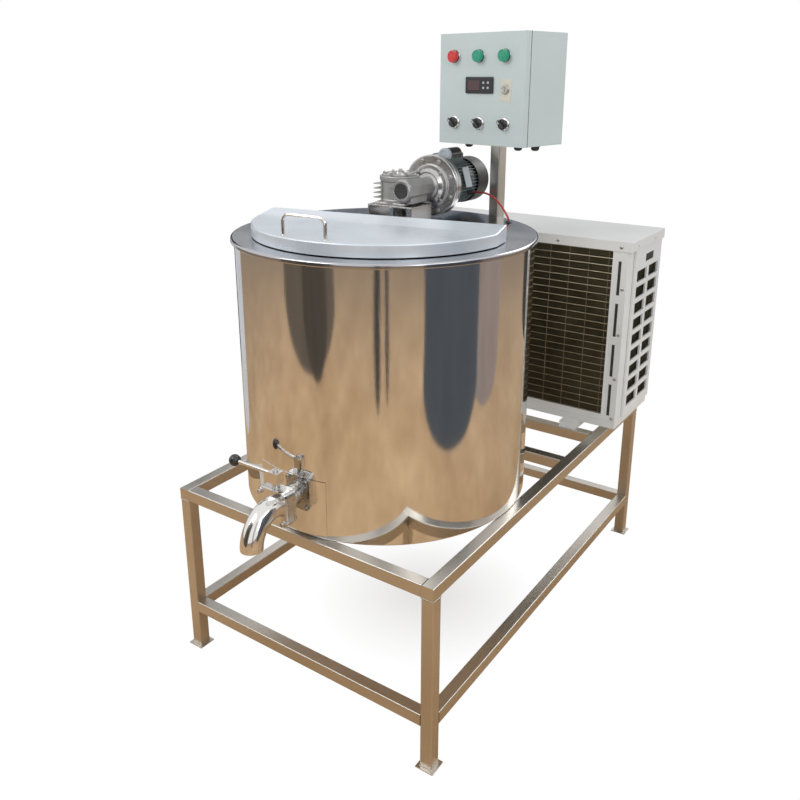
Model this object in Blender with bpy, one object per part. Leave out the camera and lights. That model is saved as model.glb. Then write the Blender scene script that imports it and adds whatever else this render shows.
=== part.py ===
"""Bulk milk tank: a jacketed cooling tank, agitator drive, control box and condensing unit on one stand.

Metres, +Z up, -Y is the front with the outlet, +X is right when seen from the front.
Every piece is placed in the stand's frame (x = 0 at mid width, y = 0 at the front face, z = 0 on the
floor). The empty "reference" then moves the whole object so that its box is centred on the origin.
"""

import math

import bmesh
import bpy
from mathutils import Matrix, Vector

# ---------------------------------------------------------------- driving dimensions
GAP = 0.0003                    # clearance left between pieces that touch

STAND_WIDTH = 0.750
STAND_LENGTH = 1.205
STAND_HEIGHT = 0.460
LOWER_RING_TOP = 0.137
TUBE = 0.030
TUBE_WALL = 0.0015
FOOT_PLATE = 0.045
FOOT_PLATE_THICK = 0.003

TANK_Y = 0.362                  # tank axis behind the front face of the stand
TANK_HEIGHT = 0.632             # from the stand to the top of the deck
JACKET_RADIUS = 0.352
RIM_RADIUS = 0.360
RIM_DEPTH = 0.012
JACKET_WALL = 0.0015
BOTTOM_THICK = 0.003
DECK_THICK = 0.002
VESSEL_RADIUS = 0.300           # inside
VESSEL_WALL = 0.002
VESSEL_FLOOR = 0.052            # inside floor above the stand
EVAPORATOR_THICK = 0.006
EVAPORATOR_HIGH = 0.400         # above the stand
EVAPORATOR_MARGIN = 0.012       # above the outlet pipe

LID_TURN = math.radians(10)     # the lid and its hinge sit turned on the tank
LID_RADIUS = 0.312
LID_SHEET = 0.0015
LID_HEIGHT = 0.029              # lid top above the deck
LID_FOLD = -0.077               # fold line, measured from the tank axis
LID_REAR = -0.012               # rear edge, measured from the tank axis
LID_RISE = 0.010                # rise of the rear strip
LID_CLEARANCE = 0.0015          # skirt above the deck
COAMING_RADIUS = 0.292
COAMING_REAR = -0.032
COAMING_HEIGHT = 0.015
COAMING_WALL = 0.002
HINGE_PIN_RADIUS = 0.003
HINGE_BORE_RADIUS = 0.0034
HINGE_KNUCKLE_RADIUS = 0.0055
HINGE_LENGTH = 0.520
HANDLE_WIDTH = 0.110
HANDLE_HEIGHT = 0.045
HANDLE_ROD = 0.004              # radius
HANDLE_REACH = 0.288            # from the tank axis
HANDLE_BEARING = math.radians(-100)     # where it stands round the lid
HANDLE_TURN = math.radians(-7)

OUTLET_X = -0.012
OUTLET_HEIGHT = 0.085           # outlet axis above the stand
PIPE_RADIUS = 0.0254
PIPE_WALL = 0.0015
FLANGE_HALF = 0.041
FLANGE_CORNER = 0.012
FLANGE_THICK = 0.008
VALVE_THICK = 0.0174
VALVE_STANDOFF = 0.0263         # rear flange in front of the jacket
ELBOW_BEND = 0.070
STEM_RADIUS = 0.006
STEM_BORE_RADIUS = 0.0063
NECK_RADIUS = 0.011
NECK_HEIGHT = 0.012             # above the flange edge
HUB_SIZE = (0.026, 0.022, 0.026)
LEVER_LENGTH = 0.123            # stem axis to knob centre
LEVER_ROD = 0.0045
KNOB_RADIUS = 0.0137

WHEEL_X = -0.058                # output axis of the gearbox
WHEEL_Y = 0.508
CENTRE_DISTANCE = 0.040
BRIDGE_LEFT = 0.067             # from the output axis
BRIDGE_RIGHT = 0.066
BRIDGE_HEIGHT = 0.0414
BRIDGE_PLATE = 0.004
GEARBOX_HEIGHT = 0.071
GEARBOX_LENGTH = 0.100
GEARBOX_FAR = 0.048             # housing wall beyond the output axis
GEARBOX_NEAR = 0.028            # housing wall beyond the worm axis
GEARBOX_WALL = 0.008
COVER_THICK = 0.007
COVER_RADIUS = 0.044
WHEEL_RADIUS = 0.030
WHEEL_THICK = 0.018
WHEEL_CAVITY = 0.036
WORM_RADIUS = 0.0095
WORM_BORE = 0.0145
MOTOR_FLANGE_RADIUS = 0.0775
MOTOR_FLANGE_Y = 0.605          # joint face between gearbox and motor
MOTOR_RADIUS = 0.058
MOTOR_WALL = 0.006
MOTOR_LENGTH = 0.137
COWL_LENGTH = 0.052
COWL_SHEET = 0.0015
MOTOR_SHAFT = 0.0055
SHAFT_RADIUS = 0.0125
SHAFT_LOWER_RADIUS = 0.010
PADDLE_RADIUS = 0.110
PADDLE_HEIGHT = 0.100           # paddle centre above the stand

POST_X = 0.102
POST_Y = 0.727
POST_TURN = math.radians(-10)   # the post and its box are turned to the left
BOX_BOTTOM = 1.277
BOX_WIDTH = 0.267
BOX_HEIGHT = 0.265
BOX_DEPTH = 0.165
BOX_SHIFT = (0.009, -0.009)     # box middle from the post, across and back
BOX_SHEET = 0.0015
DOOR_RETURN = 0.018
PILOT_RADIUS = 0.0105
PILOT_HEAD = 0.0145
PILOT_HOLE = 0.0110
BUTTON_TRAVEL = 0.004
BUTTON_ROW = 0.211              # above the box bottom
SELECTOR_ROW = 0.053
PILOT_X = (-0.082, -0.003, 0.076)
CONTROLLER_SIZE = (0.086, 0.039)
CONTROLLER_CUTOUT = (0.078, 0.033)
CONTROLLER_PLACE = (-0.001, 0.143)
LOCK_PLACE = (0.077, 0.134)
LOCK_RADIUS = 0.009

CABINET_LEFT = -0.3725
CABINET_WIDTH = 0.778
CABINET_FRONT = 0.911
CABINET_DEPTH = 0.266
CABINET_BOTTOM = 0.479
CABINET_TOP = 1.020
CABINET_SHEET = 0.0015
CABINET_LIP = 0.003
BASE_DEPTH = 0.020
BAY_WIDTH = 0.258               # compressor bay at the left
COLUMN_WIDTH = 0.040            # corner column beside the coil
GRILLE_THICK = 0.0075
COIL_THICK = 0.022
FAN_RADIUS = 0.190
FAN_ORIFICE = 0.200
FAN_HUB = 0.045
COMPRESSOR_RADIUS = 0.055
LINESET_RADIUS = 0.014
LINESET_CLEARANCE = 0.0015
CABLE_RADIUS = 0.0025

ROUND = 48                      # segments of the tank
MEDIUM = 24
SMALL = 16

# ---------------------------------------------------------------- worked-out levels
DECK_Z = STAND_HEIGHT + TANK_HEIGHT
TANK_FLOOR_Z = STAND_HEIGHT + GAP
VESSEL_FLOOR_Z = STAND_HEIGHT + VESSEL_FLOOR
UNDER_DECK_Z = DECK_Z - DECK_THICK - GAP
VESSEL_OUTER = VESSEL_RADIUS + VESSEL_WALL
EVAPORATOR_INNER = VESSEL_OUTER + GAP
EVAPORATOR_OUTER = EVAPORATOR_INNER + EVAPORATOR_THICK
OUTLET_Z = STAND_HEIGHT + OUTLET_HEIGHT
WORM_X = WHEEL_X + CENTRE_DISTANCE
BRIDGE_TOP = DECK_Z + GAP + BRIDGE_HEIGHT
GEARBOX_Z = BRIDGE_TOP + GAP
WORM_Z = GEARBOX_Z + GEARBOX_HEIGHT / 2 + COVER_THICK / 2
COVER_Z = GEARBOX_Z + GEARBOX_HEIGHT + GAP
POST_REACH = TUBE / 2 * (math.cos(POST_TURN) + math.sin(abs(POST_TURN)))
TANK_MEMBER_REAR = POST_Y - POST_REACH - GAP
CONDENSER_MEMBER_FRONT = CABINET_FRONT - 0.032

# ---------------------------------------------------------------- scene and materials
for old in list(bpy.data.objects):
    bpy.data.objects.remove(old, do_unlink=True)

FINISHES = {
    "brushed_steel": ((0.62, 0.60, 0.56), 0.32, 1.0),
    "polished_steel": ((0.74, 0.73, 0.71), 0.10, 1.0),
    "satin_steel": ((0.72, 0.72, 0.71), 0.22, 1.0),
    "foam": ((0.86, 0.78, 0.52), 0.9, 0.0),
    "cast_aluminium": ((0.60, 0.59, 0.57), 0.45, 1.0),
    "motor_paint": ((0.13, 0.16, 0.17), 0.5, 0.0),
    "black_plastic": ((0.02, 0.02, 0.022), 0.4, 0.0),
    "box_paint": ((0.62, 0.67, 0.65), 0.45, 0.0),
    "red_plastic": ((0.70, 0.03, 0.03), 0.3, 0.0),
    "green_plastic": ((0.01, 0.35, 0.12), 0.3, 0.0),
    "cabinet_paint": ((0.82, 0.82, 0.80), 0.45, 0.0),
    "coil_fins": ((0.14, 0.13, 0.08), 0.5, 0.5),
    "bronze": ((0.60, 0.42, 0.20), 0.4, 1.0),
    "cable_jacket": ((0.60, 0.05, 0.04), 0.5, 0.0),
    "lagging": ((0.05, 0.05, 0.05), 0.85, 0.0),
}


def material_for(name, finish):
    """Give each piece its own Principled material in the colour of its finish."""
    colour, roughness, metallic = FINISHES[finish]
    material = bpy.data.materials.new(name + "_" + finish)
    material.use_nodes = True
    shader = material.node_tree.nodes["Principled BSDF"]
    shader.inputs["Base Color"].default_value = (*colour, 1)
    shader.inputs["Roughness"].default_value = roughness
    shader.inputs["Metallic"].default_value = metallic
    return material


# ---------------------------------------------------------------- shape helpers
AXES = {
    "Z": Matrix.Identity(3),
    "Y": Matrix(((1, 0, 0), (0, 0, 1), (0, -1, 0))),
    "X": Matrix(((0, 0, 1), (0, 1, 0), (-1, 0, 0))),
}


def outward(bm, faces):
    """Point the faces of one closed shell outwards."""
    bmesh.ops.recalc_face_normals(bm, faces=faces)
    volume = 0.0
    for face in faces:
        first = face.verts[0].co
        for here, there in zip(face.verts[1:-1], face.verts[2:]):
            volume += first.dot(here.co.cross(there.co))
    if volume < 0:
        bmesh.ops.reverse_faces(bm, faces=faces)


def slab(bm, low, high):
    """Add a block between two corners."""
    size = Vector(high) - Vector(low)
    middle = (Vector(high) + Vector(low)) / 2
    bmesh.ops.create_cube(bm, size=1, matrix=Matrix.Translation(middle) @ Matrix.Diagonal((*size, 1)))
    return bm


def turned(bm, profile, centre=(0, 0, 0), axis="Z", segments=MEDIUM):
    """Turn a closed profile of (radius, height) points round an axis; radius 0 lies on the axis."""
    square = segments == 4
    stretch = math.sqrt(2) if square else 1
    start = math.pi / 4 if square else 0
    rings = []
    for radius, height in profile:
        count = 1 if radius == 0 else segments
        ring = []
        for step in range(count):
            angle = start + 2 * math.pi * step / segments
            reach = radius * stretch
            point = Vector((reach * math.cos(angle), reach * math.sin(angle), height))
            ring.append(bm.verts.new(AXES[axis] @ point + Vector(centre)))
        rings.append(ring)
    faces = []
    for ring, after in zip(rings, rings[1:] + rings[:1]):
        if len(ring) == 1 and len(after) == 1:
            continue
        for step in range(segments):
            corners = [ring[step % len(ring)], ring[(step + 1) % segments % len(ring)],
                       after[(step + 1) % segments % len(after)], after[step % len(after)]]
            unique = list(dict.fromkeys(corners))
            faces.append(bm.faces.new(unique))
    outward(bm, faces)
    return bm


def rod(bm, radius, low, high, centre=(0, 0, 0), axis="Z", segments=MEDIUM):
    """Add a plain round bar along an axis."""
    return turned(bm, [(0, low), (radius, low), (radius, high), (0, high)], centre, axis, segments)


def prism(bm, outline, low, high, axis="Z"):
    """Extrude a closed outline of two-dimensional points along an axis."""
    place = {
        "Z": lambda a, b, h: (a, b, h),
        "Y": lambda a, b, h: (a, h, b),
        "X": lambda a, b, h: (h, a, b),
    }[axis]
    bottom = [bm.verts.new(place(a, b, low)) for a, b in outline]
    top = [bm.verts.new(place(a, b, high)) for a, b in outline]
    faces = [bm.faces.new(bottom), bm.faces.new(top)]
    count = len(outline)
    for step in range(count):
        after = (step + 1) % count
        faces.append(bm.faces.new((bottom[step], bottom[after], top[after], top[step])))
    outward(bm, faces)
    return bm


def open_box(bm, low, high, wall, side):
    """Add a thin-walled box that is open on one side, such as "-Z"."""
    axis = "XYZ".index(side[1])
    inner_low = [value + wall for value in low]
    inner_high = [value - wall for value in high]
    if side[0] == "-":
        inner_low[axis] = low[axis]
    else:
        inner_high[axis] = high[axis]

    def corners(first, last):
        return {(i, j, k): bm.verts.new(((first, last)[i][0], (first, last)[j][1], (first, last)[k][2]))
                for i in (0, 1) for j in (0, 1) for k in (0, 1)}

    outer = corners(low, high)
    inner = corners(inner_low, inner_high)
    open_end = 0 if side[0] == "-" else 1
    faces = []
    for face_axis in range(3):
        for end in (0, 1):
            loop = []
            for first, second in ((0, 0), (1, 0), (1, 1), (0, 1)):
                key = [first, second]
                key.insert(face_axis, end)
                loop.append(tuple(key))
            if face_axis == axis and end == open_end:
                for here, there in zip(loop, loop[1:] + loop[:1]):
                    faces.append(bm.faces.new((outer[here], outer[there], inner[there], inner[here])))
            else:
                faces.append(bm.faces.new([outer[key] for key in loop]))
                faces.append(bm.faces.new([inner[key] for key in loop]))
    outward(bm, faces)
    return bm


def rounded_square(half, corner, steps=4):
    """Outline of a square with round corners, counter-clockwise."""
    points = []
    for quarter, (sx, sy) in enumerate(((1, 1), (-1, 1), (-1, -1), (1, -1))):
        for step in range(steps + 1):
            angle = math.pi / 2 * (quarter + step / steps)
            points.append((sx * (half - corner) + corner * math.cos(angle),
                           sy * (half - corner) + corner * math.sin(angle)))
    return points


def d_outline(radius, chord, steps=ROUND // 2):
    """Front part of a circle round the tank axis, cut straight at y = chord."""
    first = math.asin(chord / radius)
    last = -math.pi - first
    return [(radius * math.cos(first + (last - first) * step / steps),
             radius * math.sin(first + (last - first) * step / steps)) for step in range(steps + 1)]


def smooth_route(points, spacing):
    """Read a Catmull-Rom curve through the route's points at an even spacing."""
    knots = [Vector(point) for point in points]
    padded = [2 * knots[0] - knots[1]] + knots + [2 * knots[-1] - knots[-2]]
    fine = []
    for before, start, end, after in zip(padded, padded[1:], padded[2:], padded[3:]):
        for step in range(40):
            t = step / 40
            fine.append(0.5 * (2 * start + (end - before) * t
                               + (2 * before - 5 * start + 4 * end - after) * t ** 2
                               + (3 * start - before - 3 * end + after) * t ** 3))
    fine.append(knots[-1])
    length = sum((b - a).length for a, b in zip(fine, fine[1:]))
    count = max(2, round(length / spacing))
    route = [fine[0]]
    travelled = 0.0
    for here, there in zip(fine, fine[1:]):
        travelled += (there - here).length
        if travelled >= length * len(route) / count and len(route) < count:
            route.append(there)
    return route + [fine[-1]]


def make(name, bm, finish, origin=(0, 0, 0), parent=None):
    """Finish a mesh as a named object whose own origin is at `origin` in its parent's frame."""
    mesh = bpy.data.meshes.new(name)
    bmesh.ops.translate(bm, verts=bm.verts, vec=-Vector(origin))
    bm.to_mesh(mesh)
    bm.free()
    mesh.set_sharp_from_angle(angle=math.radians(30))
    mesh.shade_smooth()
    mesh.set_sharp_from_angle(angle=math.radians(30))
    piece = bpy.data.objects.new(name, mesh)
    piece.location = origin
    piece.parent = parent
    bpy.context.collection.objects.link(piece)
    if finish:
        mesh.materials.append(material_for(name, finish))
    return piece


def tool(name, bm, parent=None):
    """A guide solid for a Boolean: not part of the object."""
    guide = make(name, bm, None, parent=parent)
    guide.hide_render = True
    guide.display_type = "WIRE"
    return guide


def boolean(piece, operation, guide):
    modifier = piece.modifiers.new(guide.name, "BOOLEAN")
    modifier.operation = operation
    modifier.solver = "EXACT"
    modifier.object = guide
    return piece


def cut(piece, name, bm, parent=None):
    return boolean(piece, "DIFFERENCE", tool(name, bm, parent))


def join(piece, name, bm, parent=None):
    return boolean(piece, "UNION", tool(name, bm, parent))


def tube_along(name, points, radius, finish, spacing, parent=None, resolution=2):
    """A round bar that follows a smooth route."""
    curve = bpy.data.curves.new(name, "CURVE")
    curve.dimensions = "3D"
    curve.bevel_depth = radius
    curve.bevel_resolution = resolution
    curve.use_fill_caps = True
    route = smooth_route(points, spacing)
    spline = curve.splines.new("POLY")
    spline.points.add(len(route) - 1)
    for point, place in zip(spline.points, route):
        point.co = (*place, 1)
    piece = bpy.data.objects.new(name, curve)
    piece.parent = parent
    bpy.context.collection.objects.link(piece)
    curve.materials.append(material_for(name, finish))
    return piece


def frame_empty(name, location, turn, parent=None):
    empty = bpy.data.objects.new(name, None)
    empty.location = location
    empty.rotation_euler = (0, 0, turn)
    empty.parent = parent
    bpy.context.collection.objects.link(empty)
    return empty


reference = frame_empty("reference", (0, 0, 0), 0)


# ---------------------------------------------------------------- stand
def square_tube(bm, low, high, centre, axis):
    """Hollow square tube, open at both ends; low and high are measured along the axis."""
    half = TUBE / 2
    inner = half - TUBE_WALL
    return turned(bm, [(half, low), (half, high), (inner, high), (inner, low)], centre, axis, 4)


def build_stand():
    half = TUBE / 2
    inner = half - TUBE_WALL
    side = STAND_WIDTH / 2 - half
    ends = {"front": half, "rear": STAND_LENGTH - half}
    sides = {"left": -side, "right": side}
    leg_top = STAND_HEIGHT - TUBE - GAP
    for end, y in ends.items():
        for hand, x in sides.items():
            profile = [(0, 0), (FOOT_PLATE / 2, 0), (FOOT_PLATE / 2, FOOT_PLATE_THICK),
                       (half, FOOT_PLATE_THICK),
                       (half, leg_top), (inner, leg_top), (inner, FOOT_PLATE_THICK), (0, FOOT_PLATE_THICK)]
            bm = turned(bmesh.new(), profile, (x, y, 0), "Z", 4)
            make("leg_" + end + "_" + hand, bm, "brushed_steel", parent=reference)
    top_z = STAND_HEIGHT - half
    low_z = LOWER_RING_TOP - half
    between = side - half - GAP
    for hand, x in sides.items():
        bm = square_tube(bmesh.new(), 0, STAND_LENGTH, (x, 0, top_z), "Y")
        make("top_rail_" + hand, bm, "brushed_steel", parent=reference)
        bm = square_tube(bmesh.new(), TUBE + GAP, STAND_LENGTH - TUBE - GAP, (x, 0, low_z), "Y")
        make("low_rail_" + hand, bm, "brushed_steel", parent=reference)
    members = {
        "top_rail_front": (half, top_z),
        "top_rail_rear": (STAND_LENGTH - half, top_z),
        "low_rail_front": (half, low_z),
        "low_rail_rear": (STAND_LENGTH - half, low_z),
        "cross_member_tank": (TANK_MEMBER_REAR - half, top_z),
        "cross_member_condenser": (CONDENSER_MEMBER_FRONT + half, top_z),
    }
    for name, (y, z) in members.items():
        bm = square_tube(bmesh.new(), -between, between, (0, y, z), "X")
        make(name, bm, "brushed_steel", parent=reference)


# ---------------------------------------------------------------- tank
def build_tank():
    axis = (0, TANK_Y, 0)
    jacket = turned(bmesh.new(), [
        (0, TANK_FLOOR_Z), (JACKET_RADIUS, TANK_FLOOR_Z), (JACKET_RADIUS, UNDER_DECK_Z),
        (JACKET_RADIUS - JACKET_WALL, UNDER_DECK_Z),
        (JACKET_RADIUS - JACKET_WALL, TANK_FLOOR_Z + BOTTOM_THICK),
        (0, TANK_FLOOR_Z + BOTTOM_THICK)], axis, segments=ROUND)
    jacket = make("tank_jacket", jacket, "polished_steel", parent=reference)

    outer = JACKET_RADIUS - JACKET_WALL - GAP
    foam_floor = TANK_FLOOR_Z + BOTTOM_THICK + GAP
    vessel_under = VESSEL_FLOOR_Z - VESSEL_WALL - GAP
    low = OUTLET_Z + PIPE_RADIUS + EVAPORATOR_MARGIN
    high = STAND_HEIGHT + EVAPORATOR_HIGH
    foam = turned(bmesh.new(), [
        (0, foam_floor), (outer, foam_floor), (outer, UNDER_DECK_Z), (VESSEL_OUTER + GAP, UNDER_DECK_Z),
        (VESSEL_OUTER + GAP, high + GAP), (EVAPORATOR_OUTER + GAP, high + GAP),
        (EVAPORATOR_OUTER + GAP, low - GAP), (VESSEL_OUTER + GAP, low - GAP),
        (VESSEL_OUTER + GAP, vessel_under), (0, vessel_under)], axis, segments=ROUND)
    foam = make("insulation_foam", foam, "foam", parent=reference)

    vessel = turned(bmesh.new(), [
        (0, VESSEL_FLOOR_Z - VESSEL_WALL), (VESSEL_OUTER - 0.012, VESSEL_FLOOR_Z - VESSEL_WALL),
        (VESSEL_OUTER, VESSEL_FLOOR_Z + 0.010), (VESSEL_OUTER, UNDER_DECK_Z), (VESSEL_RADIUS, UNDER_DECK_Z),
        (VESSEL_RADIUS, VESSEL_FLOOR_Z + 0.011), (VESSEL_RADIUS - 0.011, VESSEL_FLOOR_Z),
        (0, VESSEL_FLOOR_Z)], axis, segments=ROUND)
    vessel = make("inner_vessel", vessel, "satin_steel", parent=reference)

    evaporator = turned(bmesh.new(), [
        (EVAPORATOR_INNER, low), (EVAPORATOR_OUTER, low), (EVAPORATOR_OUTER, high),
        (EVAPORATOR_INNER, high)], axis, segments=ROUND)
    make("evaporator_jacket", evaporator, "satin_steel", parent=reference)

    for number, wall in enumerate((jacket, foam, vessel)):
        outlet_hole = rod(bmesh.new(), PIPE_RADIUS + GAP, -0.06, 0.06,
                          (OUTLET_X, TANK_Y - VESSEL_OUTER - 0.02, OUTLET_Z), "Y", MEDIUM)
        cut(wall, "outlet_hole_%d" % number, outlet_hole, reference)
    for number, wall in enumerate((jacket, foam)):
        line_hole = rod(bmesh.new(), LINESET_RADIUS + LINESET_CLEARANCE, LINESET_START.y - 0.02,
                        TANK_Y + RIM_RADIUS,
                        (LINESET_START.x, 0, LINESET_START.z), "Y", SMALL)
        cut(wall, "line_hole_%d" % number, line_hole, reference)


def build_deck():
    deck = turned(bmesh.new(), [
        (0, DECK_Z - DECK_THICK), (JACKET_RADIUS + GAP, DECK_Z - DECK_THICK),
        (JACKET_RADIUS + GAP, DECK_Z - RIM_DEPTH), (RIM_RADIUS - 0.002, DECK_Z - RIM_DEPTH),
        (RIM_RADIUS, DECK_Z - RIM_DEPTH / 2), (RIM_RADIUS - 0.003, DECK_Z), (0, DECK_Z)],
        (0, TANK_Y, 0), segments=ROUND)
    deck = make("tank_deck", deck, "polished_steel", parent=reference)
    coaming = prism(bmesh.new(), d_outline(COAMING_RADIUS, COAMING_REAR),
                    -DECK_THICK / 2, COAMING_HEIGHT)
    join(deck, "coaming", coaming, lid_frame)
    opening = prism(bmesh.new(), d_outline(COAMING_RADIUS - COAMING_WALL, COAMING_REAR - COAMING_WALL),
                    -0.02, 0.04)
    cut(deck, "coaming_opening", opening, lid_frame)
    shaft_hole = rod(bmesh.new(), SHAFT_RADIUS + 0.0008, DECK_Z - 0.02, DECK_Z + 0.02,
                     (WHEEL_X, WHEEL_Y, 0), segments=SMALL)
    cut(deck, "deck_shaft_hole", shaft_hole, reference)


def lid_solid(inset):
    """The lid's outside, or with an inset the space under it, in the lid's own frame."""
    radius = LID_RADIUS - inset
    half = math.sqrt(LID_RADIUS ** 2 - LID_FOLD ** 2) - inset
    first = math.atan2(LID_FOLD, half)
    steps = ROUND // 2
    low = LID_CLEARANCE - (0.01 if inset else 0)
    flat = LID_HEIGHT - inset
    rear = LID_REAR - inset
    outline = []
    for step in range(steps + 1):
        angle = first + (-math.pi - 2 * first) * step / steps
        outline.append((radius * math.cos(angle), radius * math.sin(angle), flat))
    outline[0] = (half, LID_FOLD, flat)
    outline[-1] = (-half, LID_FOLD, flat)
    outline += [(-half, rear, flat + LID_RISE), (half, rear, flat + LID_RISE)]
    bm = bmesh.new()
    top = [bm.verts.new(point) for point in outline]
    bottom = [bm.verts.new((x, y, low)) for x, y, z in outline]
    bm.faces.new(bottom)
    bm.faces.new(top[:-2])
    bm.faces.new((top[-3], top[-2], top[-1], top[0]))
    for here in range(len(outline)):
        there = (here + 1) % len(outline)
        bm.faces.new((bottom[here], bottom[there], top[there], top[here]))
    outward(bm, list(bm.faces))
    return bm


def build_lid():
    hinge = (0, LID_REAR + HINGE_KNUCKLE_RADIUS - 0.001, GAP + 0.0004 + HINGE_KNUCKLE_RADIUS)
    lid = make("front_lid", lid_solid(0), "satin_steel", hinge, lid_frame)
    cut(lid, "lid_space", lid_solid(LID_SHEET), lid_frame)
    sleeves = bmesh.new()
    span = HINGE_LENGTH / 5
    for place in (-span, span):
        turned(sleeves, [(HINGE_BORE_RADIUS, place - span / 2 + GAP),
                         (HINGE_KNUCKLE_RADIUS, place - span / 2 + GAP),
                         (HINGE_KNUCKLE_RADIUS, place + span / 2 - GAP),
                         (HINGE_BORE_RADIUS, place + span / 2 - GAP)],
               hinge, "X", SMALL)
    notches = bmesh.new()
    for place in (-2 * span, 0, 2 * span):
        slab(notches, (place - span / 2 - GAP, LID_REAR - 0.008, -0.01),
             (place + span / 2 + GAP, LID_REAR + 0.008, hinge[2] + HINGE_KNUCKLE_RADIUS + 0.001))
    cut(lid, "lid_notches", notches, lid_frame)
    join(lid, "lid_knuckles", sleeves, lid_frame)

    profile = [(0, -HINGE_LENGTH / 2)]
    for place in (-2, -1, 0, 1, 2):
        radius = HINGE_PIN_RADIUS if place % 2 else HINGE_KNUCKLE_RADIUS
        profile += [(radius, (place - 0.5) * span), (radius, (place + 0.5) * span)]
    profile.append((0, HINGE_LENGTH / 2))
    pin = make("lid_hinge", turned(bmesh.new(), profile, hinge, "X", SMALL), "brushed_steel", hinge,
               lid_frame)
    clear = hinge[1] + HINGE_KNUCKLE_RADIUS + 0.0006
    outline = [(HINGE_LENGTH / 2, clear + 0.014), (-HINGE_LENGTH / 2, clear + 0.014)]
    for place in (-2, 0, 2):
        left = (place - 0.5) * span + 0.001
        right = (place + 0.5) * span - 0.001
        outline += [(left - 0.002 if place > -2 else -HINGE_LENGTH / 2, clear), (left, clear),
                    (left, hinge[1]),
                    (right, hinge[1]), (right, clear)]
    outline.append((HINGE_LENGTH / 2, clear))
    base = prism(bmesh.new(), outline, GAP, GAP + 0.002)
    bmesh.ops.remove_doubles(base, verts=base.verts, dist=0.00001)
    join(pin, "hinge_base", base, lid_frame)

    foot = Vector((math.cos(HANDLE_BEARING), math.sin(HANDLE_BEARING))) * HANDLE_REACH
    along = Vector((math.cos(HANDLE_TURN), math.sin(HANDLE_TURN)))
    low = LID_HEIGHT + GAP
    high = LID_HEIGHT + HANDLE_HEIGHT
    half = HANDLE_WIDTH / 2
    corner = 0.014
    points = [(-half, low), (-half, high - corner)]
    for step in range(1, 5):
        angle = math.pi - math.pi / 2 * step / 4
        points.append((-half + corner + corner * math.cos(angle), high - corner + corner * math.sin(angle)))
    points += [(-a, h) for a, h in reversed(points)]
    curve = bpy.data.curves.new("lid_handle", "CURVE")
    curve.dimensions = "3D"
    curve.bevel_depth = HANDLE_ROD
    curve.bevel_resolution = 3
    curve.use_fill_caps = True
    spline = curve.splines.new("POLY")
    spline.points.add(len(points) - 1)
    for point, (reach, height) in zip(spline.points, points):
        flat = foot + along * reach
        point.co = (flat.x, flat.y, height, 1)
    handle = bpy.data.objects.new("lid_handle", curve)
    handle.parent = lid_frame
    bpy.context.collection.objects.link(handle)
    curve.materials.append(material_for("lid_handle", "polished_steel"))


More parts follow.
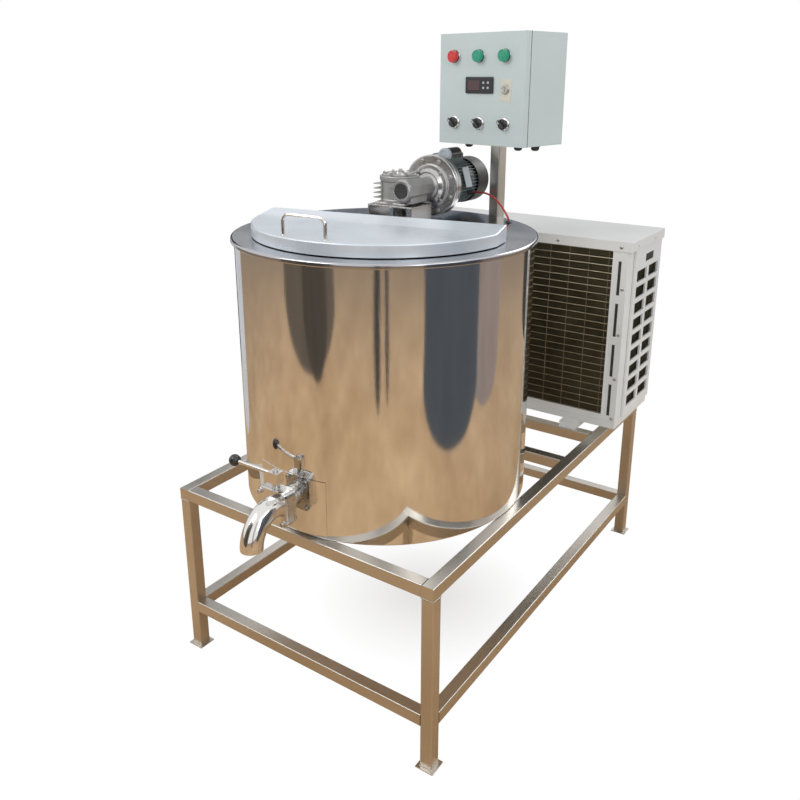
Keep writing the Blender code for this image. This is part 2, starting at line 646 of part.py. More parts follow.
# ---------------------------------------------------------------- outlet valve
def build_outlet():
    wall_y = TANK_Y - math.sqrt(JACKET_RADIUS ** 2 - OUTLET_X ** 2)
    rear_y = wall_y - VALVE_STANDOFF
    centre = (OUTLET_X, 0, OUTLET_Z)
    plate = [(OUTLET_X + a, OUTLET_Z + b) for a, b in rounded_square(FLANGE_HALF, FLANGE_CORNER)]
    inner = PIPE_RADIUS - PIPE_WALL

    inside_y = TANK_Y - math.sqrt(VESSEL_RADIUS ** 2 - (abs(OUTLET_X) + PIPE_RADIUS) ** 2)
    pipe = make("outlet_pipe", rod(bmesh.new(), PIPE_RADIUS, rear_y - FLANGE_THICK / 2, inside_y, centre,
                                   "Y"),
                "satin_steel", parent=reference)
    join(pipe, "rear_flange", prism(bmesh.new(), plate, rear_y - FLANGE_THICK, rear_y, "Y"), reference)
    cut(pipe, "pipe_bore", rod(bmesh.new(), inner, rear_y - 0.05, inside_y + 0.05, centre, "Y"), reference)

    back = rear_y - FLANGE_THICK - GAP
    front = back - VALVE_THICK
    stem_y = (front + back) / 2
    neck_top = OUTLET_Z + FLANGE_HALF + NECK_HEIGHT
    stem = (OUTLET_X, stem_y, OUTLET_Z)
    body = make("valve_body", prism(bmesh.new(), plate, front, back, "Y"), "satin_steel", parent=reference)
    neck = rod(bmesh.new(), NECK_RADIUS * 0.78, OUTLET_Z + FLANGE_HALF - 0.004, neck_top,
               (stem[0], stem_y, 0),
               segments=SMALL)
    join(body, "valve_neck", neck, reference)
    cut(body, "valve_bore", rod(bmesh.new(), inner, front - 0.01, back + 0.01, centre, "Y"), reference)
    cut(body, "stem_bore", rod(bmesh.new(), STEM_BORE_RADIUS, OUTLET_Z - inner - 0.008, neck_top + 0.01,
                               (stem[0], stem_y, 0), segments=SMALL), reference)

    disc = make("valve_disc", rod(bmesh.new(), inner - GAP, -0.002, 0.002, (stem[0], stem_y, OUTLET_Z),
                                  "Y"),
                "satin_steel", stem, reference)
    hub_bottom = neck_top + GAP
    hub_top = hub_bottom + HUB_SIZE[2]
    shaft = rod(bmesh.new(), STEM_RADIUS, OUTLET_Z - inner - 0.0077, hub_top + 0.004, (stem[0], stem_y, 0),
                segments=SMALL)
    join(disc, "valve_stem", shaft, reference)

    lever_z = hub_top - HUB_SIZE[2] * 0.30
    hub = slab(bmesh.new(), (stem[0] - HUB_SIZE[0] / 2, stem_y - HUB_SIZE[1] / 2, hub_bottom),
               (stem[0] + HUB_SIZE[0] / 2, stem_y + HUB_SIZE[1] / 2, hub_top))
    lever = make("valve_lever", hub, "polished_steel", (stem[0], stem_y, lever_z), reference)
    arm = rod(bmesh.new(), LEVER_ROD, -(LEVER_LENGTH - KNOB_RADIUS * 0.5), -HUB_SIZE[0] / 2 + 0.003,
              (stem[0], stem_y, lever_z), "X", SMALL)
    join(lever, "lever_rod", arm, reference)
    cut(lever, "hub_bore", rod(bmesh.new(), STEM_BORE_RADIUS, hub_bottom - 0.01, hub_top + 0.01,
                               (stem[0], stem_y, 0), segments=SMALL), reference)

    socket = LEVER_ROD + GAP
    mouth = math.asin(socket / KNOB_RADIUS)
    ball = [(0, -KNOB_RADIUS)]
    for step in range(1, 10):
        angle = (math.pi - mouth) * step / 9
        ball.append((KNOB_RADIUS * math.sin(angle), -KNOB_RADIUS * math.cos(angle)))
    ball += [(socket, KNOB_RADIUS * 0.5 - GAP), (0, KNOB_RADIUS * 0.5 - GAP)]
    knob_centre = (stem[0] - LEVER_LENGTH, stem_y, lever_z)
    make("valve_knob", turned(bmesh.new(), ball, knob_centre, "X", SMALL), "black_plastic",
         knob_centre, reference)

    plate_front = front - GAP
    elbow_start = plate_front - FLANGE_THICK / 2
    bend = (OUTLET_X, elbow_start, OUTLET_Z - ELBOW_BEND)
    elbow = bmesh.new()
    across = Vector((1, 0, 0))
    rings = []
    for radius in (PIPE_RADIUS, inner):
        stations = []
        for step in range(9):
            angle = math.pi / 2 * step / 8
            middle = Vector((bend[0], bend[1] - ELBOW_BEND * math.sin(angle),
                             bend[2] + ELBOW_BEND * math.cos(angle)))
            out = Vector((0, -math.sin(angle), math.cos(angle)))
            turns = [2 * math.pi * k / MEDIUM for k in range(MEDIUM)]
            stations.append([elbow.verts.new(middle + radius * (math.cos(t) * across + math.sin(t) * out))
                             for t in turns])
        rings.append(stations)
    for stations in rings:
        for here, there in zip(stations, stations[1:]):
            for k in range(MEDIUM):
                n = (k + 1) % MEDIUM
                elbow.faces.new((here[k], here[n], there[n], there[k]))
    for end in (0, -1):
        for k in range(MEDIUM):
            n = (k + 1) % MEDIUM
            elbow.faces.new((rings[0][end][k], rings[0][end][n], rings[1][end][n], rings[1][end][k]))
    outward(elbow, list(elbow.faces))
    elbow = make("outlet_elbow", elbow, "polished_steel", parent=reference)
    flange = prism(bmesh.new(), plate, plate_front - FLANGE_THICK, plate_front, "Y")
    bore = make("elbow_flange", flange, None, parent=reference)
    bore.hide_render = True
    bore.display_type = "WIRE"
    cut(bore, "elbow_flange_bore", rod(bmesh.new(), inner + PIPE_WALL / 2, plate_front - 0.02,
                                       plate_front + 0.01,
                                       centre, "Y"), reference)
    boolean(elbow, "UNION", bore)


# ---------------------------------------------------------------- agitator and its drive
def pitched_blade(bm, inner, outer, width, pitch, turn, thick, centre):
    """A flat blade tilted by its pitch, standing out from a shaft along Z."""
    before = len(bm.verts)
    bmesh.ops.create_cube(bm, size=1, matrix=Matrix.Diagonal((outer - inner, width, thick, 1)))
    bm.verts.ensure_lookup_table()
    fresh = bm.verts[before:]
    matrix = (Matrix.Translation(centre) @ Matrix.Rotation(turn, 4, "Z")
              @ Matrix.Translation(((inner + outer) / 2, 0, 0)) @ Matrix.Rotation(pitch, 4, "X"))
    bmesh.ops.transform(bm, matrix=matrix, verts=fresh)
    return bm


def build_agitator():
    axis = (WHEEL_X, WHEEL_Y, 0)
    bottom = STAND_HEIGHT + PADDLE_HEIGHT - 0.02
    top = COVER_Z - 0.004
    shaft = turned(bmesh.new(), [
        (0, bottom), (SHAFT_LOWER_RADIUS, bottom), (SHAFT_LOWER_RADIUS, DECK_Z - 0.05),
        (SHAFT_RADIUS, DECK_Z - 0.05), (SHAFT_RADIUS, top), (0, top)], axis, segments=24)
    make("agitator_shaft", shaft, "satin_steel", (WHEEL_X, WHEEL_Y, DECK_Z), reference)

    middle = STAND_HEIGHT + PADDLE_HEIGHT
    hub = turned(bmesh.new(), [
        (SHAFT_LOWER_RADIUS + GAP, middle - 0.018), (0.018, middle - 0.018), (0.018, middle + 0.018),
        (SHAFT_LOWER_RADIUS + GAP, middle + 0.018)], axis, segments=24)
    paddle = make("agitator_paddle", hub, "satin_steel", (WHEEL_X, WHEEL_Y, middle), reference)
    blades = bmesh.new()
    for turn in (0, math.pi):
        pitched_blade(blades, 0.0145, PADDLE_RADIUS, 0.040, math.radians(35), turn, 0.003,
                      (WHEEL_X, WHEEL_Y, middle))
    join(paddle, "paddle_blades", blades, reference)

    low = DECK_Z + GAP
    inside = BRIDGE_PLATE
    left = WHEEL_X - BRIDGE_LEFT
    right = WHEEL_X + BRIDGE_RIGHT
    outline = [(left, low), (left + inside, low), (left + inside, BRIDGE_TOP - inside),
               (right - inside, BRIDGE_TOP - inside),
               (right - inside, low), (right, low), (right, BRIDGE_TOP), (left, BRIDGE_TOP)]
    bridge = make("drive_bridge", prism(bmesh.new(), outline, WHEEL_Y - GEARBOX_LENGTH / 2 + 0.004,
                                        WHEEL_Y + GEARBOX_LENGTH / 2 - 0.004, "Y"), "satin_steel",
                                        parent=reference)
    cut(bridge, "bridge_hole", rod(bmesh.new(), SHAFT_RADIUS + 0.0008, low, BRIDGE_TOP + 0.01, axis,
                                   segments=SMALL),
        reference)


def build_gearmotor():
    axis = (WHEEL_X, WHEEL_Y, 0)
    worm = (WORM_X, 0, WORM_Z)
    front = WHEEL_Y - GEARBOX_LENGTH / 2
    back = WHEEL_Y + GEARBOX_LENGTH / 2
    top = GEARBOX_Z + GEARBOX_HEIGHT
    left = WHEEL_X - GEARBOX_FAR
    right = WORM_X + GEARBOX_NEAR
    chamfer = 0.014
    outline = [(left + chamfer, front), (right - chamfer, front), (right, front + chamfer),
               (right, back - chamfer),
               (right - chamfer, back), (left + chamfer, back), (left, back - chamfer),
               (left, front + chamfer)]
    housing = make("gearbox_housing", prism(bmesh.new(), outline, GEARBOX_Z, top), "cast_aluminium",
                   parent=reference)
    flange_back = MOTOR_FLANGE_Y - GAP / 2
    neck = turned(bmesh.new(), [
        (0, back - 0.010), (0.031, back - 0.010), (0.031, back + 0.010), (0.052, back + 0.020),
        (0.052, flange_back - 0.018), (MOTOR_FLANGE_RADIUS, flange_back - 0.018),
        (MOTOR_FLANGE_RADIUS, flange_back),
        (0, flange_back)], worm, "Y")
    join(housing, "input_flange", neck, reference)
    cut(housing, "wheel_cavity", rod(bmesh.new(), WHEEL_CAVITY, GEARBOX_Z + GEARBOX_WALL, top + 0.01,
                                     axis), reference)
    cut(housing, "worm_bore", rod(bmesh.new(), WORM_BORE, front + GEARBOX_WALL, flange_back + 0.01, worm,
                                  "Y", SMALL),
        reference)
    cut(housing, "output_hole", rod(bmesh.new(), SHAFT_RADIUS + 0.0008, GEARBOX_Z - 0.01, top, axis,
                                    segments=SMALL),
        reference)

    cover = turned(bmesh.new(), [
        (0, COVER_Z), (COVER_RADIUS, COVER_Z), (COVER_RADIUS, COVER_Z + 0.004),
        (0.036, COVER_Z + COVER_THICK),
        (0, COVER_Z + COVER_THICK)], axis)
    make("gearbox_cover", cover, "cast_aluminium", parent=reference)

    hub_low = GEARBOX_Z + GEARBOX_WALL + GAP
    hub_high = top - 0.002
    teeth = 30
    outline = []
    for tooth in range(teeth):
        for share, radius in ((0.0, WHEEL_RADIUS - 0.003), (0.25, WHEEL_RADIUS), (0.5, WHEEL_RADIUS),
                              (0.75, WHEEL_RADIUS - 0.003)):
            angle = 2 * math.pi * (tooth + share) / teeth
            outline.append((WHEEL_X + radius * math.cos(angle), WHEEL_Y + radius * math.sin(angle)))
    wheel = make("worm_wheel", prism(bmesh.new(), outline, WORM_Z - WHEEL_THICK / 2,
                                     WORM_Z + WHEEL_THICK / 2),
                 "bronze", (WHEEL_X, WHEEL_Y, WORM_Z), reference)
    join(wheel, "wheel_hub", rod(bmesh.new(), 0.019, hub_low, hub_high, axis, segments=24), reference)
    cut(wheel, "wheel_bore", rod(bmesh.new(), SHAFT_RADIUS + GAP, hub_low - 0.01, hub_high + 0.01, axis,
                                 segments=24),
        reference)

    start = front + GEARBOX_WALL + GAP
    collar = WORM_BORE - GAP - 0.0002
    socket = back - 0.010
    end = flange_back - 0.004
    thread = []
    for turn in range(5):
        place = WHEEL_Y - 0.020 + 0.008 * turn
        thread += [(WORM_RADIUS - 0.0025, place), (WORM_RADIUS, place + 0.0025),
                   (WORM_RADIUS, place + 0.004)]
    profile = [(0, start), (collar, start), (collar, start + 0.008), (0.007, start + 0.008)] + thread
    profile += [(0.0075, back - 0.018), (collar, back - 0.018), (collar, back - 0.004),
                (0.010, back - 0.004),
                (0.010, end), (MOTOR_SHAFT + GAP, end), (MOTOR_SHAFT + GAP, socket), (0, socket)]
    make("worm_shaft", turned(bmesh.new(), profile, worm, "Y", SMALL), "bronze", (WORM_X, WHEEL_Y, WORM_Z),
         reference)

    flange_front = MOTOR_FLANGE_Y + GAP / 2
    shell_start = flange_front + 0.010
    shell_end = shell_start + MOTOR_LENGTH - 0.010
    frame = turned(bmesh.new(), [
        (MOTOR_SHAFT + 0.0008, flange_front), (MOTOR_FLANGE_RADIUS, flange_front),
        (MOTOR_FLANGE_RADIUS, shell_start),
        (MOTOR_RADIUS, shell_start), (MOTOR_RADIUS, shell_end), (MOTOR_RADIUS - MOTOR_WALL, shell_end),
        (MOTOR_RADIUS - MOTOR_WALL, shell_start), (MOTOR_SHAFT + 0.0008, shell_start)], worm, "Y")
    frame = make("motor_frame", frame, "motor_paint", parent=reference)
    saddle = slab(bmesh.new(), (WORM_X - 0.026, shell_start + 0.020, WORM_Z + MOTOR_RADIUS - 0.006),
                  (WORM_X + 0.026, shell_start + 0.095, WORM_Z + MOTOR_RADIUS + 0.016))
    join(frame, "terminal_box", saddle, reference)
    boss = rod(bmesh.new(), 0.0065, CABLE_START.x - 0.010, CABLE_START.x - GAP,
               (0, CABLE_START.y, CABLE_START.z), "X", SMALL)
    join(frame, "cable_boss", boss, reference)

    core = MOTOR_RADIUS - MOTOR_WALL - 0.0007
    fan_start = shell_end + 0.006
    shaft_end = fan_start + 0.020
    profile = [(0, socket + GAP), (MOTOR_SHAFT, socket + GAP), (MOTOR_SHAFT, shell_start + 0.020),
               (core, shell_start + 0.020), (core, shell_end - 0.020), (MOTOR_SHAFT, shell_end - 0.020),
               (MOTOR_SHAFT, fan_start), (core - 0.004, fan_start), (core - 0.004, fan_start + 0.003),
               (0.016, fan_start + 0.004), (0.016, shaft_end), (0, shaft_end)]
    rotor = make("motor_rotor", turned(bmesh.new(), profile, worm, "Y", MEDIUM), "black_plastic",
                 (WORM_X, shell_start, WORM_Z), reference)
    vanes = bmesh.new()
    for step in range(6):
        slab(vanes, (0.014, fan_start + 0.002, -0.001), (core - 0.006, shaft_end - 0.002, 0.001))
        bmesh.ops.rotate(vanes, cent=(0, 0, 0), matrix=Matrix.Rotation(math.pi / 3, 3, "Y"),
                         verts=vanes.verts)
    bmesh.ops.translate(vanes, vec=worm, verts=vanes.verts)
    join(rotor, "fan_vanes", vanes, reference)

    cowl_start = shell_end + GAP
    cowl_end = cowl_start + COWL_LENGTH
    bore = MOTOR_RADIUS + 2 * GAP
    rim = bore + COWL_SHEET
    cowl = turned(bmesh.new(), [
        (0, cowl_end - COWL_SHEET), (bore, cowl_end - COWL_SHEET), (bore, shell_end - 0.008),
        (rim, shell_end - 0.008), (rim, cowl_end - 0.006), (rim - 0.006, cowl_end), (0, cowl_end)], worm,
        "Y")
    make("motor_fan_cowl", cowl, "black_plastic", parent=reference)


# ---------------------------------------------------------------- post and control box
def build_post():
    bm = square_tube(bmesh.new(), STAND_HEIGHT - TUBE - BOX_BOTTOM, -GAP, (0, 0, 0), "Z")
    make("post", bm, "brushed_steel", parent=post_frame)


def door_tool(cutter, place, radius, front):
    return rod(cutter, radius, front - 0.02, front + 0.01, (place[0], 0, place[1]), "Y", SMALL)


def build_control_box():
    half = BOX_WIDTH / 2
    front = -BOX_DEPTH / 2
    body_front = front + DOOR_RETURN + 0.0005
    body = open_box(bmesh.new(), (-half, body_front, 0), (half, BOX_DEPTH / 2, BOX_HEIGHT), BOX_SHEET, "-Y")
    make("control_box", body, "box_paint", parent=box_frame)

    hinge = (-half, front + DOOR_RETURN, BOX_HEIGHT / 2)
    door = open_box(bmesh.new(), (-half, front, 0), (half, front + DOOR_RETURN, BOX_HEIGHT), BOX_SHEET,
                    "+Y")
    door = make("control_box_door", door, "box_paint", hinge, box_frame)
    holes = bmesh.new()
    for x in PILOT_X:
        door_tool(holes, (x, BUTTON_ROW), PILOT_HOLE, front)
        door_tool(holes, (x, SELECTOR_ROW), PILOT_HOLE, front)
    door_tool(holes, LOCK_PLACE, LOCK_RADIUS + 0.0005, front)
    cx, cz = CONTROLLER_PLACE
    slot = [value / 2 + GAP for value in CONTROLLER_CUTOUT]
    slab(holes, (cx - slot[0], front - 0.02, cz - slot[1]), (cx + slot[0], front + 0.01, cz + slot[1]))
    cut(door, "door_holes", holes, box_frame)

    outer = [value / 2 for value in CONTROLLER_SIZE]
    inner = [value / 2 for value in CONTROLLER_CUTOUT]
    controller = slab(bmesh.new(), (cx - outer[0], front - 0.005, cz - outer[1]),
                      (cx + outer[0], front - GAP, cz + outer[1]))
    controller = make("temperature_controller", controller, "black_plastic", parent=box_frame)
    case = slab(bmesh.new(), (cx - inner[0], front - 0.003, cz - inner[1]),
                (cx + inner[0], front + 0.055, cz + inner[1]))
    join(controller, "controller_case", case, box_frame)

    head = 0.015
    seat = 0.0005 + BUTTON_TRAVEL
    names = ("stop_button", "start_button_mixer", "start_button_cooling")
    finishes = ("red_plastic", "green_plastic", "green_plastic")
    for name, finish, x in zip(names, finishes, PILOT_X):
        bm = turned(bmesh.new(), [
            (0, front - head), (PILOT_HEAD - 0.001, front - head), (PILOT_HEAD, front - head + 0.001),
            (PILOT_HEAD, front - seat), (PILOT_RADIUS, front - seat), (PILOT_RADIUS, front + 0.022),
            (0, front + 0.022)], (x, 0, BUTTON_ROW), "Y", SMALL)
        make(name, bm, finish, (x, front, BUTTON_ROW), box_frame)
    for name, x in zip(("selector_left", "selector_middle", "selector_right"), PILOT_X):
        origin = (x, front, SELECTOR_ROW)
        barrel = rod(bmesh.new(), PILOT_RADIUS, front - 0.006, front + 0.022, (x, 0, SELECTOR_ROW), "Y",
                     SMALL)
        selector = make(name, barrel, "black_plastic", origin, box_frame)
        wing = slab(bmesh.new(), (-0.0035, -0.020, -0.009), (0.0035, -0.004, 0.012))
        bmesh.ops.rotate(wing, cent=(0, 0, 0), matrix=Matrix.Rotation(math.radians(-45), 3, "Y"),
                         verts=wing.verts)
        bmesh.ops.translate(wing, vec=origin, verts=wing.verts)
        join(selector, name + "_wing", wing, box_frame)
    lock = turned(bmesh.new(), [
        (0, front - 0.004), (LOCK_RADIUS + 0.002, front - 0.004), (LOCK_RADIUS + 0.002, front - GAP),
        (LOCK_RADIUS, front - GAP), (LOCK_RADIUS, front + 0.014), (0, front + 0.014)],
        (LOCK_PLACE[0], 0, LOCK_PLACE[1]), "Y", SMALL)
    make("door_lock", lock, "satin_steel", (LOCK_PLACE[0], front, LOCK_PLACE[1]), box_frame)


# ---------------------------------------------------------------- condensing unit
def build_condenser():
    left = CABINET_LEFT
    right = left + CABINET_WIDTH
    front = CABINET_FRONT
    back = front + CABINET_DEPTH
    sheet = CABINET_SHEET
    tray_top = CABINET_BOTTOM + BASE_DEPTH
    base = make("condenser_base", open_box(bmesh.new(), (left, front, CABINET_BOTTOM),
                                           (right, back, tray_top),
                                           sheet, "+Z"), "cabinet_paint", parent=reference)
    feet = bmesh.new()
    for x in (left + 0.14, right - 0.13):
        slab(feet, (x - 0.025, CONDENSER_MEMBER_FRONT + 0.004, STAND_HEIGHT + GAP),
             (x + 0.025, STAND_LENGTH - 0.004, CABINET_BOTTOM + sheet / 2))
    join(base, "condenser_feet", feet, reference)

    wall_bottom = tray_top + GAP
    wall_top = CABINET_TOP - 0.0025
    cabinet = make("condenser_cabinet", slab(bmesh.new(), (left, front, wall_bottom),
                                             (right, back, wall_top)),
                   "cabinet_paint", parent=reference)
    cut(cabinet, "cabinet_inside", slab(bmesh.new(), (left + sheet, front + sheet, wall_bottom - 0.01),
                                        (right - sheet, back - sheet, wall_top + 0.01)), reference)
    coil_left = left + BAY_WIDTH
    coil_right = right - COLUMN_WIDTH
    sill = wall_bottom + 0.016
    header = wall_top - 0.016
    windows = slab(bmesh.new(), (coil_left, front - 0.01, sill), (coil_right, front + 0.01, header))
    slab(windows, (right - 0.01, front + 0.052, sill), (right + 0.01, back - 0.020, header))
    fan_x = (coil_left + right) / 2
    fan_z = (wall_bottom + wall_top) / 2
    rod(windows, FAN_ORIFICE, back - 0.01, back + 0.01, (fan_x, 0, fan_z), "Y", 48)
    rod(windows, LINESET_RADIUS + LINESET_CLEARANCE, front - 0.01, front + 0.01,
        (LINESET_END.x, 0, LINESET_END.z), "Y", SMALL)
    cut(cabinet, "cabinet_windows", windows, reference)

    cover_low = CABINET_TOP - 0.028
    lip = CABINET_LIP
    cover = open_box(bmesh.new(), (left - lip, front - lip, cover_low),
                     (right + lip + GRILLE_THICK, back + lip, CABINET_TOP),
                     0.0022, "-Z")
    make("condenser_top_cover", cover, "cabinet_paint", parent=reference)

    grille_low = wall_bottom + 0.004
    grille_high = cover_low - GAP
    grille_front = front + 0.046
    grille_back = back - 0.006
    grille = make("condenser_side_grille",
                  slab(bmesh.new(), (right + GAP, grille_front, grille_low),
                       (right + GRILLE_THICK, grille_back, grille_high)),
                  "cabinet_paint", parent=reference)
    slots = bmesh.new()
    rows = 9
    row_pitch = (grille_high - grille_low - 0.075) / rows
    column = (grille_back - grille_front - 0.050) / 2
    for row in range(rows):
        z = grille_low + 0.025 + row_pitch * row
        for step in range(2):
            y = grille_front + 0.018 + step * (column + 0.014)
            slab(slots, (right - 0.01, y, z),
                 (right + GRILLE_THICK + 0.01, y + column, z + row_pitch - 0.013))
    cut(grille, "grille_slots", slots, reference)

    coil_front = front + sheet + 0.004
    coil_end = right - sheet - 0.004
    coil_back = back - 0.022
    outline = [(coil_left - 0.010, coil_front), (coil_end, coil_front), (coil_end, coil_back),
               (coil_end - COIL_THICK, coil_back), (coil_end - COIL_THICK, coil_front + COIL_THICK),
               (coil_left - 0.010, coil_front + COIL_THICK)]
    coil_low = CABINET_BOTTOM + sheet + GAP
    make("condenser_coil", prism(bmesh.new(), outline, coil_low, wall_top - 0.004), "coil_fins",
         parent=reference)

    fan_y = back - 0.040
    hub = make("condenser_fan", rod(bmesh.new(), FAN_HUB, fan_y - 0.020, fan_y + 0.020, (fan_x, 0, fan_z),
                                    "Y", 24),
               "black_plastic", (fan_x, fan_y, fan_z), reference)
    blades = bmesh.new()
    for step in range(3):
        steps = 4
        fresh = []
        for face in (-1, 1):
            grid = []
            for along in range(steps + 1):
                share = along / steps
                radius = FAN_HUB - 0.004 + (FAN_RADIUS - FAN_HUB + 0.004) * share
                sweep = math.radians(62) * (0.75 + 0.25 * share)
                row = []
                for across in range(steps + 1):
                    part = across / steps - 0.5
                    angle = 2 * math.pi * step / 3 + sweep * part
                    depth = 0.030 * part + face * 0.0015
                    row.append(blades.verts.new((fan_x + radius * math.cos(angle), fan_y + depth,
                                                 fan_z + radius * math.sin(angle))))
                grid.append(row)
            fresh.append(grid)
        near, far = fresh
        faces = []
        for i in range(steps):
            for j in range(steps):
                for grid in (near, far):
                    faces.append(blades.faces.new((grid[i][j], grid[i + 1][j], grid[i + 1][j + 1],
                                                   grid[i][j + 1])))
        for i in range(steps):
            for edge in (0, steps):
                faces.append(blades.faces.new((near[i][edge], near[i + 1][edge], far[i + 1][edge],
                                               far[i][edge])))
                faces.append(blades.faces.new((near[edge][i], near[edge][i + 1], far[edge][i + 1],
                                               far[edge][i])))
        outward(blades, faces)
    join(hub, "fan_blades", blades, reference)
    shaft_radius = 0.005
    cut(hub, "fan_bore", rod(bmesh.new(), shaft_radius + GAP, fan_y - 0.03, fan_y + 0.012,
                             (fan_x, 0, fan_z), "Y", SMALL),
        reference)

    motor_back = fan_y - 0.020 - 0.004
    motor_front = motor_back - 0.060
    can = turned(bmesh.new(), [
        (0, motor_front), (0.044, motor_front), (0.044, motor_back), (shaft_radius, motor_back),
        (shaft_radius, fan_y + 0.011), (0, fan_y + 0.011)], (fan_x, 0, fan_z), "Y", 24)
    motor = make("condenser_fan_motor", can, "motor_paint", parent=reference)
    strut = slab(bmesh.new(), (fan_x - 0.014, motor_front - 0.003, CABINET_BOTTOM + sheet + GAP),
                 (fan_x + 0.014, motor_front + 0.004, wall_top - 0.002))
    join(motor, "fan_motor_strut", strut, reference)

    guard_y = back + GAP
    guard = bmesh.new()
    wire = 0.0015
    for radius in (0.055, 0.105, 0.155, FAN_ORIFICE + 0.006):
        turned(guard, [(radius - wire, guard_y), (radius + wire, guard_y),
                       (radius + wire, guard_y + 2 * wire),
                       (radius - wire, guard_y + 2 * wire)], (fan_x, 0, fan_z), "Y", 24)
    guard = make("condenser_fan_guard", guard, "cabinet_paint", parent=reference)
    for number, turn in enumerate((45, 135)):
        spoke = slab(bmesh.new(), (-FAN_ORIFICE - 0.006, guard_y + 0.0004, -wire),
                     (FAN_ORIFICE + 0.006, guard_y + 2 * wire - 0.0004, wire))
        bmesh.ops.rotate(spoke, cent=(0, guard_y, 0), matrix=Matrix.Rotation(math.radians(turn), 3, "Y"),
                         verts=spoke.verts)
        bmesh.ops.translate(spoke, vec=(fan_x, 0, fan_z), verts=spoke.verts)
        join(guard, "guard_spoke_%d" % number, spoke, reference)

    bay_x = LINESET_END.x
    bay_y = LINESET_END.y + GAP + COMPRESSOR_RADIUS
    low = CABINET_BOTTOM + sheet + GAP
    profile = [(0, low), (COMPRESSOR_RADIUS + 0.018, low), (COMPRESSOR_RADIUS + 0.018, low + 0.006),
               (COMPRESSOR_RADIUS, low + 0.012), (COMPRESSOR_RADIUS, low + 0.205), (0.040, low + 0.235),
               (0, low + 0.245)]
    make("compressor", turned(bmesh.new(), profile, (bay_x, bay_y, 0)), "black_plastic", parent=reference)

    tube_along("refrigerant_lineset", LINESET_ROUTE, LINESET_RADIUS, "lagging", 0.030, reference, 4)


# ---------------------------------------------------------------- lines and lead
def evaporator_rear(x):
    return TANK_Y + math.sqrt(EVAPORATOR_OUTER ** 2 - x ** 2)


LINESET_Z = STAND_HEIGHT + 0.180
LINESET_X = -0.190
BAY_X = CABINET_LEFT + 0.120
LINESET_START = Vector((LINESET_X, evaporator_rear(abs(LINESET_X) - LINESET_RADIUS) + GAP, LINESET_Z))
LINESET_END = Vector((BAY_X, CABINET_FRONT + 0.074, LINESET_Z))
LINESET_ROUTE = [
    LINESET_START,
    (LINESET_X, TANK_Y + 0.330, LINESET_Z),
    (LINESET_X - 0.002, TANK_Y + 0.400, LINESET_Z - 0.006),
    ((LINESET_X + BAY_X) / 2, TANK_Y + 0.460, LINESET_Z - 0.010),
    (BAY_X + 0.002, CABINET_FRONT - 0.036, LINESET_Z - 0.003),
    (BAY_X, CABINET_FRONT, LINESET_Z),
    LINESET_END,
]
CABLE_START = Vector((0.0435, 0.700, 1.149))
CABLE_ROUTE = [
    CABLE_START,
    (0.056, 0.699, 1.1495),
    (0.076, 0.694, 1.1505),
    (0.100, 0.682, 1.1495),
    (0.126, 0.667, 1.1435),
    (0.150, 0.652, 1.1325),
    (0.169, 0.6405, 1.1195),
    (0.182, 0.6335, 1.1075),
    (0.1876, 0.6303, 1.0995),
    (0.188, 0.630, DECK_Z + 2 * GAP),
]

lid_frame = frame_empty("lid_frame", (0, TANK_Y, DECK_Z), LID_TURN, reference)
post_frame = frame_empty("post_frame", (POST_X, POST_Y, BOX_BOTTOM), POST_TURN, reference)
box_frame = frame_empty("box_frame", (*BOX_SHIFT, 0), 0, post_frame)

build_stand()
build_tank()
build_deck()
build_lid()
build_outlet()
build_agitator()
build_gearmotor()
build_post()
build_control_box()
build_condenser()
tube_along("motor_cable", CABLE_ROUTE, CABLE_RADIUS, "cable_jacket", 0.006, reference)


# ---------------------------------------------------------------- move the box's middle to the origin
def centre_on_origin():
    """Move the reference so that the object's box, without its free lead, stands centred on the origin."""
    bpy.context.view_layer.update()
    graph = bpy.context.evaluated_depsgraph_get()
    low = Vector((math.inf,) * 3)
    high = Vector((-math.inf,) * 3)
    for piece in bpy.data.objects:
        if piece.type == "EMPTY" or piece.hide_render or piece.name == "motor_cable":
            continue
        shaped = piece.evaluated_get(graph)
        for vertex in shaped.to_mesh().vertices:
            place = shaped.matrix_world @ vertex.co
            low = Vector(map(min, low, place))
            high = Vector(map(max, high, place))
        shaped.to_mesh_clear()
    reference.location = (-(low.x + high.x) / 2, -(low.y + high.y) / 2, -low.z)
    bpy.context.view_layer.update()


centre_on_origin()
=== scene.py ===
"""A bulk milk tank on its stand: the looks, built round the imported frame.

Metres, +Z up. The tank's outlet and lid face -Y, the condensing unit stands at +Y.
"""

import math

import bpy
from mathutils import Matrix, Vector


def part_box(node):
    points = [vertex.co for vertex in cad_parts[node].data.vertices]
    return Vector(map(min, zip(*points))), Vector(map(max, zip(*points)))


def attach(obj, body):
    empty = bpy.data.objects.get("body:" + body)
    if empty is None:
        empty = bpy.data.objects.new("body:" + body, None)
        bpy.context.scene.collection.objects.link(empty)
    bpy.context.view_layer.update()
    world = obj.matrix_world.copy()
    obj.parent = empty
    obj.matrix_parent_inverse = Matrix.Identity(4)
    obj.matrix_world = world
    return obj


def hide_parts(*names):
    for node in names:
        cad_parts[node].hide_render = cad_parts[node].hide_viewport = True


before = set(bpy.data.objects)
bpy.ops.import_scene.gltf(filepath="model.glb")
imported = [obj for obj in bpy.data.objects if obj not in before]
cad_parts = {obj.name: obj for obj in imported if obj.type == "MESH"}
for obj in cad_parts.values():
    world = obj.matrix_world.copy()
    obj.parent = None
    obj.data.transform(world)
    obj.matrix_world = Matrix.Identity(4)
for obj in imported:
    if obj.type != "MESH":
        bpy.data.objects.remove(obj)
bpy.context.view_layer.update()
bpy.ops.object.select_all(action="DESELECT")

